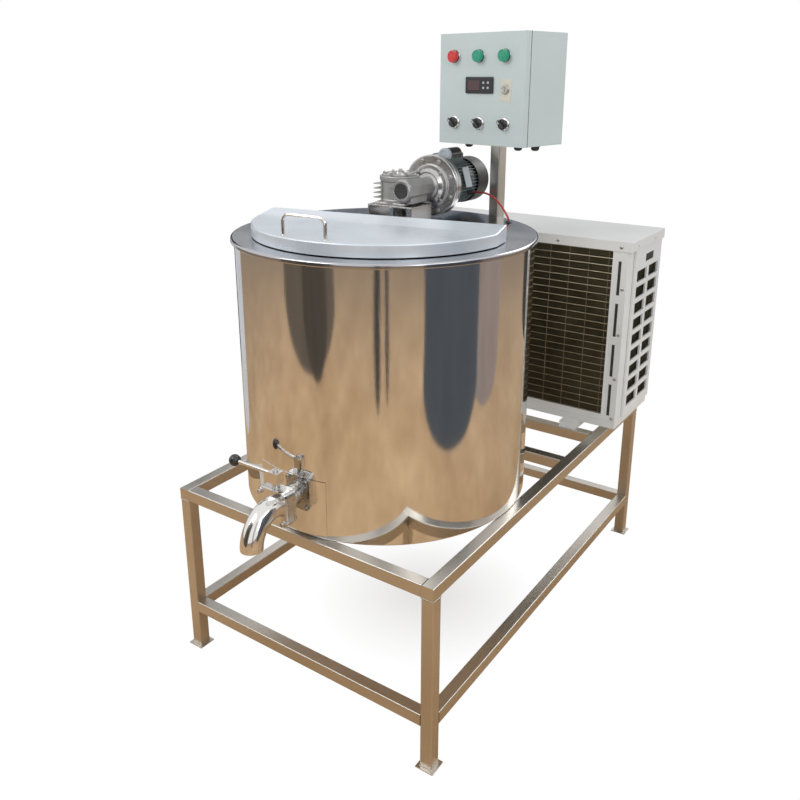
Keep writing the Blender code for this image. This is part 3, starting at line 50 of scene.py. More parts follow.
# ---- Camera
# A short lens held at head height, front right of the tank and looking down at it.
camera_data = bpy.data.cameras.new("camera")
camera_data.lens = 36.614
camera_data.shift_y = -0.0875
camera = bpy.data.objects.new("camera", camera_data)
camera.location = (1.09667, -1.72440, 1.44225)
camera.rotation_euler = (math.radians(90 - 17.354), 0, math.radians(34.604))
bpy.context.collection.objects.link(camera)
bpy.context.scene.camera = camera

# ---- Motor lead
# A red rubber-jacketed lead of three cores, from the motor's terminal box down to a bush in the deck.
# It is short and held at both ends, so it stands up in one loose arch.
STAND_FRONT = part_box("top_rail_left")[0].y
MID_WIDTH = (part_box("top_rail_left")[0].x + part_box("top_rail_right")[1].x) / 2
LEAD_DIAMETER = 0.005
LEAD_POINTS = [
    (0.0435, 0.700, 1.149),
    (0.056, 0.699, 1.1495),
    (0.076, 0.694, 1.1505),
    (0.100, 0.682, 1.1495),
    (0.126, 0.667, 1.1435),
    (0.150, 0.652, 1.1325),
    (0.169, 0.6405, 1.1195),
    (0.182, 0.6335, 1.1075),
    (0.1876, 0.6303, 1.0995),
    (0.188, 0.630, 1.0926),
]


class Link:
    """An output in a material's node tree. Sums and products of it add their own Math nodes."""

    def __init__(self, tree, output=None):
        self.tree = tree
        self.output = output

    def add(self, kind, settings=None, sockets=None, out=0):
        """Add any node: its settings first, then the values or links of its sockets."""
        node = self.tree.nodes.new(kind)
        for key, value in (settings or {}).items():
            if key == "stops":
                while len(node.color_ramp.elements) < len(value):
                    node.color_ramp.elements.new(0.5)
                for element, (place, shade) in zip(node.color_ramp.elements, value):
                    element.position = place
                    element.color = (shade, shade, shade, 1)
            else:
                setattr(node, key, value)
        for key, value in (sockets or {}).items():
            if isinstance(value, Link):
                self.tree.links.new(value.output, node.inputs[key])
            else:
                node.inputs[key].default_value = value
        return Link(self.tree, node.outputs[out])

    def maths(self, operation, first, second=0.0):
        return self.add("ShaderNodeMath", {"operation": operation}, {0: first, 1: second})

    def __add__(self, other):
        return self.maths("ADD", self, other)

    def __mul__(self, other):
        return self.maths("MULTIPLY", self, other)

    def __sub__(self, other):
        return self.maths("SUBTRACT", self, other)

    def __rsub__(self, other):
        return self.maths("SUBTRACT", other, self)

    def __truediv__(self, other):
        return self.maths("DIVIDE", self, other)

    __radd__ = __add__
    __rmul__ = __mul__

    def ramp(self, *stops):
        """Remap through grey stops of (place, value)."""
        return self.add("ShaderNodeValToRGB", {"stops": stops}, {0: self})

    def noise(self, scale, stretch=(1, 1, 1), detail=3.0, roughness=0.55):
        """Cloudy variation over the object, drawn out by a stretch per axis."""
        place = self.add("ShaderNodeTexCoord", out="Object")
        place = self.add("ShaderNodeMapping", {"vector_type": "POINT"}, {"Vector": place, "Scale": stretch})
        return self.add("ShaderNodeTexNoise", None,
                        {"Vector": place, "Scale": scale, "Detail": detail, "Roughness": roughness})

    def along(self, axis):
        """The object's own X, Y or Z coordinate."""
        place = self.add("ShaderNodeTexCoord", out="Object")
        return self.add("ShaderNodeSeparateXYZ", None, {0: place}, out=axis)

    def blend(self, share, first, second):
        """Mix two colours; each is three numbers or a link."""
        ends = [value if isinstance(value, Link) else (*value, 1) for value in (first, second)]
        return self.add("ShaderNodeMix", {"data_type": "RGBA"}, {0: share, 6: ends[0], 7: ends[1]}, out=2)


def surface(name, colour, roughness, metallic=0.0, **fixed):
    """Start a material. Returns it with a helper that links what varies over the surface."""
    material = bpy.data.materials.new(name)
    material.use_nodes = True
    tree = material.node_tree
    shader = tree.nodes["Principled BSDF"]
    shader.inputs["Base Color"].default_value = (*colour, 1)
    shader.inputs["Roughness"].default_value = roughness
    shader.inputs["Metallic"].default_value = metallic
    for key, value in fixed.items():
        shader.inputs[key.replace("_", " ").title().replace("Ior", "IOR")].default_value = value
    paint = Link(tree)

    def vary(height=None, depth=0.0005, strength=0.5, **links):
        for key, link in links.items():
            tree.links.new(link.output, shader.inputs[key.replace("_", " ").title()])
        if height is not None:
            bump = paint.add("ShaderNodeBump", None,
                             {"Height": height, "Distance": depth, "Strength": strength})
            tree.links.new(bump.output, shader.inputs["Normal"])

    return material, paint, vary


def mottled(name, colour, roughness, metallic, grain, dark, light, matt=None, depth=0, strength=0.5, **fixed):
    """A finish clouded between two colours. Its grain is the cloud's scale and detail."""
    material, paint, vary = surface(name, colour, roughness, metallic, **fixed)
    cloud = paint.noise(grain[0], detail=grain[1])
    links = {"base_color": paint.blend(cloud, dark, light)}
    if matt:
        links["roughness"] = matt[0] + cloud * matt[1]
    if depth:
        links.update(height=cloud, depth=depth, strength=strength)
    vary(**links)
    return material


red_rubber = mottled("red_lead_rubber", (0.36, 0.02, 0.02), 0.42, 0.0, (160, 4), (0.30, 0.014, 0.012),
                     (0.46, 0.04, 0.035), matt=(0.34, 0.2), depth=0.0001)


def smooth_line(points, spacing):
    """Even points along a Catmull-Rom curve through the route's own points."""
    knots = [Vector(point) for point in points]
    padded = [2 * knots[0] - knots[1]] + knots + [2 * knots[-1] - knots[-2]]
    line = []
    for before, start, end, after in zip(padded, padded[1:], padded[2:], padded[3:]):
        steps = max(2, round((end - start).length / spacing))
        for step in range(steps):
            t = step / steps
            line.append(0.5 * (2 * start + (end - before) * t
                               + (2 * before - 5 * start + 4 * end - after) * t ** 2
                               + (3 * start - before - 3 * end + after) * t ** 3))
    return line + [knots[-1]]


def round_line(name, points, radius, material, resolution=6):
    """A round rod or lead along a line, as a curve with a bevel."""
    curve = bpy.data.curves.new(name, "CURVE")
    curve.dimensions = "3D"
    curve.bevel_depth = radius
    curve.bevel_resolution = resolution
    curve.use_fill_caps = True
    curve.materials.append(material)
    spline = curve.splines.new("POLY")
    spline.points.add(len(points) - 1)
    for point, place in zip(spline.points, points):
        point.co = (*place, 1)
    line = bpy.data.objects.new(name, curve)
    bpy.context.collection.objects.link(line)
    return line


lead_line = smooth_line([(x + MID_WIDTH, y + STAND_FRONT, z) for x, y, z in LEAD_POINTS], 0.003)
lead = round_line("motor_lead", lead_line, LEAD_DIAMETER / 2, red_rubber)
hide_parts("motor_cable")
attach(lead, "tank_on_stand")
sum((b - a).length for a, b in zip(lead_line, lead_line[1:]))

# ---- Stand
# Square stainless tube, mitred and welded, with a satin belt finish along each tube. Flat plates are
# welded under the legs, and the tube ends at the front and back are closed with welded caps.
TUBE = 0.030
CORNER = 0.0026
PLATE = 0.003


def belt_steel(name, axis):
    """Belt-ground stainless: long fine scratches along one axis, a little warm."""
    material, paint, vary = surface(name, (0.60, 0.565, 0.51), 0.3, 1.0)
    stretch = [120, 120, 120]
    stretch["XYZ".index(axis)] = 3
    scratch = paint.noise(8, stretch, detail=4, roughness=0.7)
    cloud = paint.noise(7, detail=4)
    colour = paint.blend(cloud, (0.50, 0.455, 0.39), (0.68, 0.655, 0.61))
    vary(base_color=paint.blend(scratch, colour, (0.63, 0.60, 0.55)),
         roughness=0.16 + scratch * 0.22 + cloud * 0.08, height=scratch, depth=0.00012, strength=0.35)
    return material


steel_along = {axis: belt_steel("belt_steel_" + axis.lower(), axis) for axis in "XYZ"}
weld_metal = mottled("weld_bead", (0.50, 0.46, 0.40), 0.34, 1.0, (380, 2), (0.42, 0.37, 0.31),
                     (0.70, 0.66, 0.60), depth=0.0006, strength=0.9)


def select_only(*pieces):
    """Select these pieces and nothing else, with the first of them active."""
    bpy.ops.object.select_all(action="DESELECT")
    for piece in pieces:
        piece.select_set(True)
    bpy.context.view_layer.objects.active = pieces[0]


def settle(piece, place=None):
    """Put the piece's place, turn and size into its mesh, so that its object sits at the origin."""
    if place is not None:
        piece.matrix_world = place @ piece.matrix_world
    select_only(piece)
    bpy.ops.object.transform_apply(location=True, rotation=True, scale=True)
    return piece


def apply_all(piece):
    bpy.context.view_layer.objects.active = piece
    for modifier in list(piece.modifiers):
        bpy.ops.object.modifier_apply(modifier=modifier.name)
    return piece


def soften(piece, width, segments=3, angle=40):
    """Round the piece's sharp edges."""
    bevel = piece.modifiers.new("round_edges", "BEVEL")
    bevel.width = width
    bevel.segments = segments
    bevel.limit_method = "ANGLE"
    bevel.angle_limit = math.radians(angle)
    return apply_all(piece)


def mount(piece, material, body, *nodes, slot=None):
    """Give the piece its finish, shade it, and let it ride on a body in place of any CAD nodes."""
    piece.data.materials.clear()
    piece.data.materials.append(material)
    select_only(piece)
    bpy.ops.object.shade_smooth_by_angle(angle=math.radians(32))
    flats = piece.modifiers.new("flat_faces", "WEIGHTED_NORMAL")
    flats.keep_sharp = True
    apply_all(piece)
    if nodes:
        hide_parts(*nodes)
    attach(piece, body)
    return piece


def block(name, low, high, round_edge=0.0, place=None, segments=3):
    """A cube between two corners with its edges rounded."""
    low, high = Vector(low), Vector(high)
    bpy.ops.object.select_all(action="DESELECT")
    bpy.ops.mesh.primitive_cube_add(size=1, location=(low + high) / 2, scale=high - low)
    piece = bpy.context.object
    piece.name = name
    settle(piece)
    if round_edge:
        soften(piece, round_edge, segments)
    return settle(piece, place) if place is not None else piece


def joined(name, pieces):
    """Make one piece of several."""
    select_only(*pieces)
    if len(pieces) > 1:
        bpy.ops.object.join()
    pieces[0].name = name
    return pieces[0]


def lines_to_mesh(name, lines):
    """Turn round lines into one mesh."""
    select_only(*lines)
    bpy.ops.object.convert(target="MESH")
    return joined(name, lines)


def copies(piece, places):
    """Copies of a piece, each with its own mesh, at each of several places. The pattern is used up."""
    made = []
    for place in places:
        twin = bpy.data.objects.new(piece.name, piece.data.copy())
        twin.data.transform(place)
        bpy.context.collection.objects.link(twin)
        made.append(twin)
    bpy.data.objects.remove(piece)
    return made


def pick_edges(piece, wanted):
    """Select, in edit mode, the edges whose two ends pass a test."""
    bpy.ops.object.mode_set(mode="EDIT")
    bpy.ops.mesh.select_mode(type="EDGE")
    bpy.ops.mesh.select_all(action="DESELECT")
    bpy.ops.object.mode_set(mode="OBJECT")
    for edge in piece.data.edges:
        edge.select = wanted(*(piece.data.vertices[k].co for k in edge.vertices))
    bpy.ops.object.mode_set(mode="EDIT")


def tube_bar(name, low, high, place=None):
    """A square tube with rounded long edges and capped ends."""
    size = Vector(high) - Vector(low)
    axis = max(range(3), key=lambda k: size[k])
    bar = block(name, low, high)
    pick_edges(bar, lambda start, end: abs((end - start)[axis]) > size[axis] / 2)
    bpy.ops.mesh.bevel(offset=CORNER, segments=4)
    bpy.ops.mesh.select_mode(type="FACE")
    bpy.ops.mesh.select_all(action="DESELECT")
    bpy.ops.object.mode_set(mode="OBJECT")
    for face in bar.data.polygons:
        face.select = abs(face.normal[axis]) > 0.9
    bpy.ops.object.mode_set(mode="EDIT")
    bpy.ops.mesh.inset(thickness=0.0016, use_individual=True)
    bpy.ops.transform.resize(value=tuple(1 - 0.0012 / size[k] if k == axis else 1 for k in range(3)))
    bpy.ops.object.mode_set(mode="OBJECT")
    if place is not None:
        settle(bar, place)
    return bar


for node in ("top_rail_left", "top_rail_right", "top_rail_front", "top_rail_rear",
             "low_rail_left", "low_rail_right", "low_rail_front", "low_rail_rear",
             "cross_member_tank", "cross_member_condenser"):
    low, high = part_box(node)
    axis = "X" if high.x - low.x > high.y - low.y else "Y"
    mount(tube_bar(node + "_tube", low, high), steel_along[axis], "tank_on_stand", node, slot="brushed_steel")

beads = []
for end in ("front", "rear"):
    for hand in ("left", "right"):
        node = "leg_" + end + "_" + hand
        low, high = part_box(node)
        middle = (low + high) / 2
        half = Vector((TUBE / 2, TUBE / 2, 0))
        leg = tube_bar(node + "_tube", (middle.x - half.x, middle.y - half.y, PLATE),
                       (middle.x + half.x, middle.y + half.y, high.z))
        foot = block(node + "_foot", low, (high.x, high.y, PLATE), 0.0008, segments=2)
        mount(joined(node + "_tube", [leg, foot]), steel_along["Z"], "tank_on_stand", node,
              slot="brushed_steel")
        for level in (PLATE, high.z - 0.0004):
            beads.append((middle.x, middle.y, level))

run = [TUBE * (step / 6 - 0.5) for step in range(6)]
loop = ([Vector((x, -TUBE / 2, 0)) for x in run] + [Vector((TUBE / 2, y, 0)) for y in run]
        + [Vector((-x, TUBE / 2, 0)) for x in run] + [Vector((-TUBE / 2, -y, 0)) for y in run])


def bead_round(name, places, loop, radius=0.0011):
    """Small weld beads run round a square tube."""
    rings = []
    for place in places:
        ring = round_line(name, [point + Vector(place) for point in loop], radius, weld_metal, 2)
        ring.data.splines[0].use_cyclic_u = True
        rings.append(ring)
    return lines_to_mesh(name, rings)


mount(bead_round("leg_weld_beads", beads, loop), weld_metal, "tank_on_stand", slot="brushed_steel")

# ---- Tank wall
# The outer jacket is rolled from mirror-polished stainless sheet, closed with one upright weld at the back
# and dished slightly at the bottom. It bulges a little between its welds, so what it mirrors is wavy.
TANK_LOW, TANK_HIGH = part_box("tank_jacket")
TANK = (TANK_LOW + TANK_HIGH) / 2
WALL_RADIUS = (TANK_HIGH.x - TANK_LOW.x) / 2
SHEET = 0.0015


def mirror_steel(name, colour=(0.80, 0.785, 0.765), rough=0.055, wave=0.0008):
    """Mirror-polished stainless: faint upright waves in the sheet, smears and a fine polish grain."""
    material, paint, vary = surface(name, colour, rough, 1.0)
    smear = paint.noise(2.2, (1, 1, 0.6), detail=3)
    grain = paint.noise(40, (9, 9, 0.5), detail=3, roughness=0.7)
    swell = paint.noise(5.5, (1, 1, 0.22), detail=1.5)
    vary(base_color=paint.blend(smear, [value * 0.93 for value in colour], colour),
         roughness=rough * 0.6 + smear * (rough * 0.7) + grain * (rough * 0.5),
         height=swell + grain * 0.012, depth=wave, strength=0.6)
    return material


tank_polish = mirror_steel("tank_polish", wave=0.0045)


def turn_up(name, steps, place=None, segments=64):
    """Extrude a disc through (radius, height) steps like a turned part, then set it in place."""
    bpy.ops.object.select_all(action="DESELECT")
    radius, height = steps[0]
    bpy.ops.mesh.primitive_circle_add(vertices=segments, radius=radius, fill_type="NGON",
                                      location=(0, 0, height))
    piece = bpy.context.object
    piece.name = name
    bpy.ops.object.mode_set(mode="EDIT")
    bpy.ops.mesh.select_mode(type="FACE")
    bpy.ops.mesh.select_all(action="SELECT")
    for wide, high in steps[1:]:
        bpy.ops.mesh.extrude_region_move(TRANSFORM_OT_translate={"value": (0, 0, high - height)})
        bpy.ops.transform.resize(value=(wide / radius, wide / radius, 1), center_override=(0, 0, high))
        radius, height = wide, high
    bpy.ops.mesh.select_all(action="SELECT")
    bpy.ops.mesh.normals_make_consistent(inside=False)
    bpy.ops.object.mode_set(mode="OBJECT")
    return settle(piece, place)


def arc(centre_radius, centre_height, radius, first, last, steps=5):
    """Points of a rounded corner in a turned part's outline, in degrees from straight out."""
    return [(centre_radius + radius * math.cos(math.radians(first + (last - first) * step / steps)),
             centre_height + radius * math.sin(math.radians(first + (last - first) * step / steps)))
            for step in range(steps + 1)]


tank_place = Matrix.Translation((TANK.x, TANK.y, 0))
wall = turn_up("tank_wall", [(0.20, TANK_LOW.z)] + arc(WALL_RADIUS - 0.004, TANK_LOW.z + 0.004, 0.004, -90, 0)
               + [(WALL_RADIUS, TANK_HIGH.z), (WALL_RADIUS - SHEET, TANK_HIGH.z),
                  (WALL_RADIUS - SHEET, TANK_LOW.z + 0.003), (0.20, TANK_LOW.z + 0.003)], tank_place, 192)
OUTLET = (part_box("valve_disc")[0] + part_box("valve_disc")[1]) / 2
OUTLET.z = (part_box("outlet_pipe")[0].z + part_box("outlet_pipe")[1].z) / 2
PIPE_RADIUS = 0.0254


def drill(radius, place, sides=64, turn=math.pi / 2, depth=0.1):
    """The shape that a drill takes out, along Y unless it is turned upright."""
    bpy.ops.mesh.primitive_cylinder_add(vertices=sides, radius=radius, depth=depth, location=place,
                                        rotation=(turn, 0, 0))
    return bpy.context.object


def bored(piece, cutter):
    """Cut a drill's shape out of the piece."""
    cut = piece.modifiers.new("bore", "BOOLEAN")
    cut.operation = "DIFFERENCE"
    cut.object = cutter
    bpy.ops.object.select_all(action="DESELECT")
    apply_all(piece)
    bpy.data.objects.remove(cutter)
    return piece


outlet_axis = (OUTLET.x, TANK_LOW.y, OUTLET.z)
mount(bored(wall, drill(PIPE_RADIUS + 0.0003, outlet_axis)), tank_polish, "tank_on_stand", "tank_jacket",
      slot="polished_steel")


def wrapped_sheet(name, left, right, bottom, top, lift, thick):
    """A thin plate bent round the tank wall, between two widths and two heights."""
    bpy.ops.object.select_all(action="DESELECT")
    bpy.ops.mesh.primitive_grid_add(x_subdivisions=40, y_subdivisions=10, size=1,
                                    location=((left + right) / 2, 0, (bottom + top) / 2),
                                    rotation=(math.pi / 2, 0, 0))
    plate = bpy.context.object
    plate.scale = (right - left, top - bottom, 1)
    settle(plate)
    plate.name = name
    for vertex in plate.data.vertices:
        out = WALL_RADIUS + lift
        angle = (vertex.co.x - TANK.x) / out
        vertex.co.x = TANK.x + out * math.sin(angle)
        vertex.co.y = TANK.y - out * math.cos(angle)
    wall_of = plate.modifiers.new("sheet", "SOLIDIFY")
    wall_of.thickness = thick
    wall_of.offset = -1
    apply_all(plate)
    return plate


cover = wrapped_sheet("outlet_cover_plate", OUTLET.x - 0.097, OUTLET.x + 0.097, OUTLET.z - 0.079,
                      OUTLET.z + 0.057, 0.0012, 0.0010)
mount(bored(cover, drill(PIPE_RADIUS + 0.0006, outlet_axis)), tank_polish, "tank_on_stand",
      slot="polished_steel")

seam_height = TANK_HIGH.z - TANK_LOW.z - 0.02
seam_line = [Vector((TANK.x - 0.02, TANK.y + WALL_RADIUS, TANK_LOW.z + 0.006 + seam_height * step / 40))
             for step in range(41)]
seam = round_line("wall_seam_weld", seam_line, 0.0012, weld_metal, 3)
mount(lines_to_mesh("wall_seam_weld", [seam]), weld_metal, "tank_on_stand", slot="polished_steel")

# ---- Tank deck
# The top sheet, polished like the wall, rolled over the wall at a bright rim. A raised collar stands round
# the D-shaped opening under the lid.
DECK_LOW, DECK_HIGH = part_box("tank_deck")
DECK_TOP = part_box("drive_bridge")[0].z - 0.0003
RIM_RADIUS = (DECK_HIGH.x - DECK_LOW.x) / 2
LID_TURN = math.radians(10)
COLLAR_RADIUS = 0.292
COLLAR_BACK = -0.032
lid_place = Matrix.Translation((TANK.x, TANK.y, DECK_TOP)) @ Matrix.Rotation(LID_TURN, 4, "Z")

deck_polish = mirror_steel("deck_polish", colour=(0.50, 0.505, 0.53), rough=0.13, wave=0.0012)


def d_plate(name, radius, back, low, high, segments=160):
    """The front part of a disc, cut straight at the back."""
    bpy.ops.object.select_all(action="DESELECT")
    bpy.ops.mesh.primitive_cylinder_add(vertices=segments, radius=radius, depth=high - low,
                                        location=(0, 0, (low + high) / 2))
    plate = settle(bpy.context.object)
    plate.name = name
    bpy.ops.object.mode_set(mode="EDIT")
    bpy.ops.mesh.select_all(action="SELECT")
    bpy.ops.mesh.bisect(plane_co=(0, back, 0), plane_no=(0, 1, 0), use_fill=True, clear_outer=True)
    bpy.ops.object.mode_set(mode="OBJECT")
    return plate


deck = turn_up("deck_sheet", [(0.20, DECK_TOP - 0.002), (WALL_RADIUS + 0.0003, DECK_TOP - 0.002),
                              (WALL_RADIUS + 0.0003, DECK_LOW.z)]
               + arc(RIM_RADIUS - 0.003, DECK_LOW.z + 0.003, 0.003, -90, 0, 4)
               + arc(RIM_RADIUS - 0.005, DECK_TOP - 0.005, 0.005, 0, 90, 6)
               + [(RIM_RADIUS - 0.030, DECK_TOP - 0.0006), (0.20, DECK_TOP)], tank_place, 192)
collar = settle(d_plate("collar", COLLAR_RADIUS, COLLAR_BACK, -0.0015, 0.015), lid_place)
opening = settle(d_plate("opening", COLLAR_RADIUS - 0.002, COLLAR_BACK - 0.002, -0.03, 0.04), lid_place)
for guide, operation in ((collar, "UNION"), (opening, "DIFFERENCE")):
    step = deck.modifiers.new(operation.lower(), "BOOLEAN")
    step.operation = operation
    step.object = guide
bpy.ops.object.select_all(action="DESELECT")
apply_all(deck)
bpy.data.objects.remove(collar)
bpy.data.objects.remove(opening)
SHAFT = (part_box("agitator_shaft")[0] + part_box("agitator_shaft")[1]) / 2
shaft_hole = drill(0.0135, (SHAFT.x, SHAFT.y, DECK_TOP), 48, 0, 0.05)
mount(bored(deck, shaft_hole), deck_polish, "tank_on_stand", "tank_deck", slot="polished_steel")

lead_end = lead_line[-1]
bush_place = Matrix.Translation((lead_end.x, lead_end.y, DECK_TOP))
bush = turn_up("lead_bush", [(0.0085, 0.0), (0.0085, 0.0012), (0.0060, 0.0030), (0.0045, 0.0042),
                             (0.0028, 0.0046)],
               bush_place, 32)
black_rubber = mottled("black_rubber", (0.022, 0.022, 0.023), 0.55, 0.0, (90, 5), (0.014, 0.014, 0.015),
                       (0.05, 0.048, 0.045), matt=(0.42, 0.25), depth=0.00015)
mount(bush, black_rubber, "tank_on_stand", slot="black_plastic")

# ---- Inside of the tank
# The milk vessel is satin stainless with a coved bottom; foam, evaporator plate and deck close the space
# round it. None of that is seen with the lid shut.
vessel_steel, paint, vary = surface("vessel_steel", (0.66, 0.66, 0.65), 0.34, 0.4)
swirl = paint.noise(30, (1, 1, 9), detail=4)
vary(base_color=paint.blend(swirl, (0.60, 0.60, 0.59), (0.74, 0.74, 0.73)), roughness=0.26 + swirl * 0.16,
     height=swirl, depth=0.0002)
foam = mottled("insulating_foam", (0.84, 0.74, 0.46), 0.9, 0.0, (260, 3), (0.74, 0.62, 0.36),
               (0.90, 0.82, 0.56), depth=0.0008)


def skin_of(node, name, round_edge=0.0006, segments=2):
    """A copy of a CAD node as one clean skin with its sharp edges rounded."""
    copy = bpy.data.objects.new(name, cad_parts[node].data.copy())
    bpy.context.collection.objects.link(copy)
    select_only(copy)
    bpy.ops.object.mode_set(mode="EDIT")
    bpy.ops.mesh.select_all(action="SELECT")
    bpy.ops.mesh.remove_doubles(threshold=0.00002)
    bpy.ops.mesh.dissolve_limited(angle_limit=math.radians(0.5))
    bpy.ops.object.mode_set(mode="OBJECT")
    if round_edge:
        soften(copy, round_edge, segments)
    return copy


mount(skin_of("inner_vessel", "milk_vessel", 0), vessel_steel, "tank_on_stand", "inner_vessel",
      slot="satin_steel")
for node, material in (("insulation_foam", foam), ("evaporator_jacket", vessel_steel)):
    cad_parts[node].data.materials.clear()
    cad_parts[node].data.materials.append(material)

# ---- Lid
# A half-round lid of satin stainless with a turned-down skirt. Behind a straight fold the sheet rises to
# the hinge edge. It is held by a long pin hinge on the deck and lifted by a bent rod handle.
LID_RADIUS = 0.312
LID_HEIGHT = 0.029
LID_FOLD = -0.077
LID_REAR = -0.012
LID_RISE = 0.010
LID_EDGE = 0.0035
LID_LOW = 0.0015

lid_satin, paint, vary = surface("lid_satin", (0.80, 0.86, 0.92), 0.28, 0.45)
brush = paint.noise(10, (3, 90, 20), detail=4, roughness=0.7)
stain = paint.noise(9, detail=4)
vary(base_color=paint.blend(stain, (0.62, 0.665, 0.71), (0.78, 0.83, 0.88)),
     roughness=0.18 + brush * 0.16 + stain * 0.10, height=brush + stain * 0.5, depth=0.0003, strength=0.35)

lid = d_plate("lid_sheet", LID_RADIUS, LID_REAR, LID_LOW, LID_HEIGHT, 192)
bpy.ops.object.mode_set(mode="EDIT")
bpy.ops.mesh.select_all(action="SELECT")
bpy.ops.mesh.bisect(plane_co=(0, LID_FOLD, 0), plane_no=(0, 1, 0))
bpy.ops.object.mode_set(mode="OBJECT")
side = math.sqrt(LID_RADIUS ** 2 - LID_FOLD ** 2)
for vertex in lid.data.vertices:
    if vertex.co.y > LID_FOLD + 1e-5:
        behind = (vertex.co.y - LID_FOLD) / (LID_REAR - LID_FOLD)
        if abs(vertex.co.x) > side - 0.002:
            vertex.co.x = math.copysign(side, vertex.co.x)
        if vertex.co.z > LID_HEIGHT / 2:
            vertex.co.z += LID_RISE * behind
bpy.ops.object.mode_set(mode="EDIT")
bpy.ops.mesh.select_all(action="SELECT")
bpy.ops.mesh.remove_doubles(threshold=0.00001)
bpy.ops.mesh.normals_make_consistent(inside=False)
bpy.ops.mesh.select_mode(type="FACE")
bpy.ops.mesh.select_all(action="DESELECT")
bpy.ops.object.mode_set(mode="OBJECT")
for face in lid.data.polygons:
    face.select = face.normal.z < -0.9
bpy.ops.object.mode_set(mode="EDIT")
bpy.ops.mesh.delete(type="FACE")
bpy.ops.object.mode_set(mode="OBJECT")
pick_edges(lid, lambda *ends: all(end.z > LID_HEIGHT - 0.001 for end in ends)
           and not all(abs(end.y - LID_FOLD) < 1e-4 for end in ends))
bpy.ops.mesh.bevel(offset=LID_EDGE, segments=5)
bpy.ops.object.mode_set(mode="OBJECT")
thick = lid.modifiers.new("sheet", "SOLIDIFY")
thick.thickness = SHEET
thick.offset = -1
apply_all(lid)
settle(lid, lid_place)
HINGE_LENGTH = 0.520
hinge_span = HINGE_LENGTH / 5
notches = []
for number in (-2, 0, 2):
    notches.append(block("notch", (number * hinge_span - hinge_span / 2 - 0.0004, LID_REAR - 0.008, -0.01),
                         (number * hinge_span + hinge_span / 2 + 0.0004, LID_REAR + 0.008, 0.0127)))
notch = settle(joined("notch", notches), lid_place)
mount(bored(lid, notch), lid_satin, "lid", "front_lid", slot="satin_steel")

knuckle_at = Matrix.Translation((0, LID_REAR + 0.0045, 0.0062)) @ Matrix.Rotation(math.pi / 2, 4, "Y")
sleeves = []
for number in (-1, 1):
    sleeve = turn_up("lid_knuckle", [(0.0034, -hinge_span / 2 + 0.0004), (0.0055, -hinge_span / 2 + 0.0004),
                                     (0.0055, hinge_span / 2 - 0.0004), (0.0034, hinge_span / 2 - 0.0004)],
                     Matrix.Translation((number * hinge_span, 0, 0)) @ knuckle_at, 32)
    sleeves.append(sleeve)
mount(settle(joined("lid_knuckles", sleeves), lid_place), steel_along["X"], "lid", slot="satin_steel")
mount(skin_of("lid_hinge", "hinge_leaf_and_pin", 0.0004), steel_along["X"], "tank_on_stand", "lid_hinge",
      slot="brushed_steel")
mount(skin_of("lid_handle", "lid_handle_rod", 0), mirror_steel("handle_polish", rough=0.12, wave=0.0003),
      "lid",
      "lid_handle", slot="polished_steel")
handle_low, handle_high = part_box("lid_handle")
HANDLE_ROD = 0.004
HANDLE_TILT = LID_TURN - math.radians(7)
handle_middle = (handle_low + handle_high) / 2
handle_half = Vector((math.cos(HANDLE_TILT), math.sin(HANDLE_TILT), 0)) * 0.055
collars = []
for end in (-1, 1):
    foot_at = handle_middle + handle_half * end
    collars.append(turn_up("handle_weld", [(HANDLE_ROD + 0.0016, 0), (HANDLE_ROD + 0.0013, 0.0012),
                                           (HANDLE_ROD + 0.0004, 0.0022)],
                           Matrix.Translation((foot_at.x, foot_at.y, DECK_TOP + LID_HEIGHT)), 24))
mount(joined("handle_welds", collars), weld_metal, "lid", slot="satin_steel")

# ---- Outlet valve
# A two-inch dairy butterfly valve: two round-cornered flanges bolted on a thick body, a square hub with a
# lever on its stem, a black ball grip, and a short polished bend that turns the milk down.
FLANGE_HALF = 0.041
BOLT_PLACE = 0.0315
ELBOW_BEND = 0.070
PIPE_WALL = 0.0015
valve_satin = mottled("valve_satin", (0.64, 0.64, 0.63), 0.24, 1.0, (60, 4), (0.52, 0.51, 0.50),
                      (0.72, 0.72, 0.71), matt=(0.17, 0.2), depth=0.0002)
elbow_polish = mirror_steel("elbow_polish", rough=0.09, wave=0.0006)
mount(skin_of("outlet_pipe", "outlet_stub", 0.0007), valve_satin, "tank_on_stand", "outlet_pipe",
      slot="satin_steel")
mount(skin_of("valve_body", "valve_plate", 0.0009), valve_satin, "tank_on_stand", "valve_body",
      slot="satin_steel")
mount(skin_of("valve_disc", "valve_butterfly", 0.0003), valve_satin, "valve", "valve_disc",
      slot="satin_steel")
mount(skin_of("valve_lever", "valve_hub_and_rod", 0.0010),
      mirror_steel("lever_polish", rough=0.12, wave=0.0003), "valve", "valve_lever", slot="polished_steel")

elbow_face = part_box("outlet_elbow")[1].y
elbow_start = elbow_face - 0.004
bpy.ops.object.select_all(action="DESELECT")
bpy.ops.mesh.primitive_circle_add(vertices=56, radius=PIPE_RADIUS, fill_type="NOTHING",
                                  location=(OUTLET.x, elbow_start, OUTLET.z), rotation=(math.pi / 2, 0, 0))
elbow = settle(bpy.context.object)
elbow.name = "outlet_bend"
bpy.ops.object.mode_set(mode="EDIT")
bpy.ops.mesh.select_all(action="SELECT")
bpy.ops.mesh.spin(steps=28, angle=math.pi / 2, center=(OUTLET.x, elbow_start, OUTLET.z - ELBOW_BEND),
                  axis=(1, 0, 0))
bpy.ops.object.mode_set(mode="OBJECT")
if max((elbow.matrix_world @ vertex.co).y for vertex in elbow.data.vertices) > elbow_start + 0.01:
    for vertex in elbow.data.vertices:
        vertex.co.y = 2 * elbow_start - vertex.co.y
bpy.ops.object.mode_set(mode="EDIT")
bpy.ops.mesh.select_all(action="SELECT")
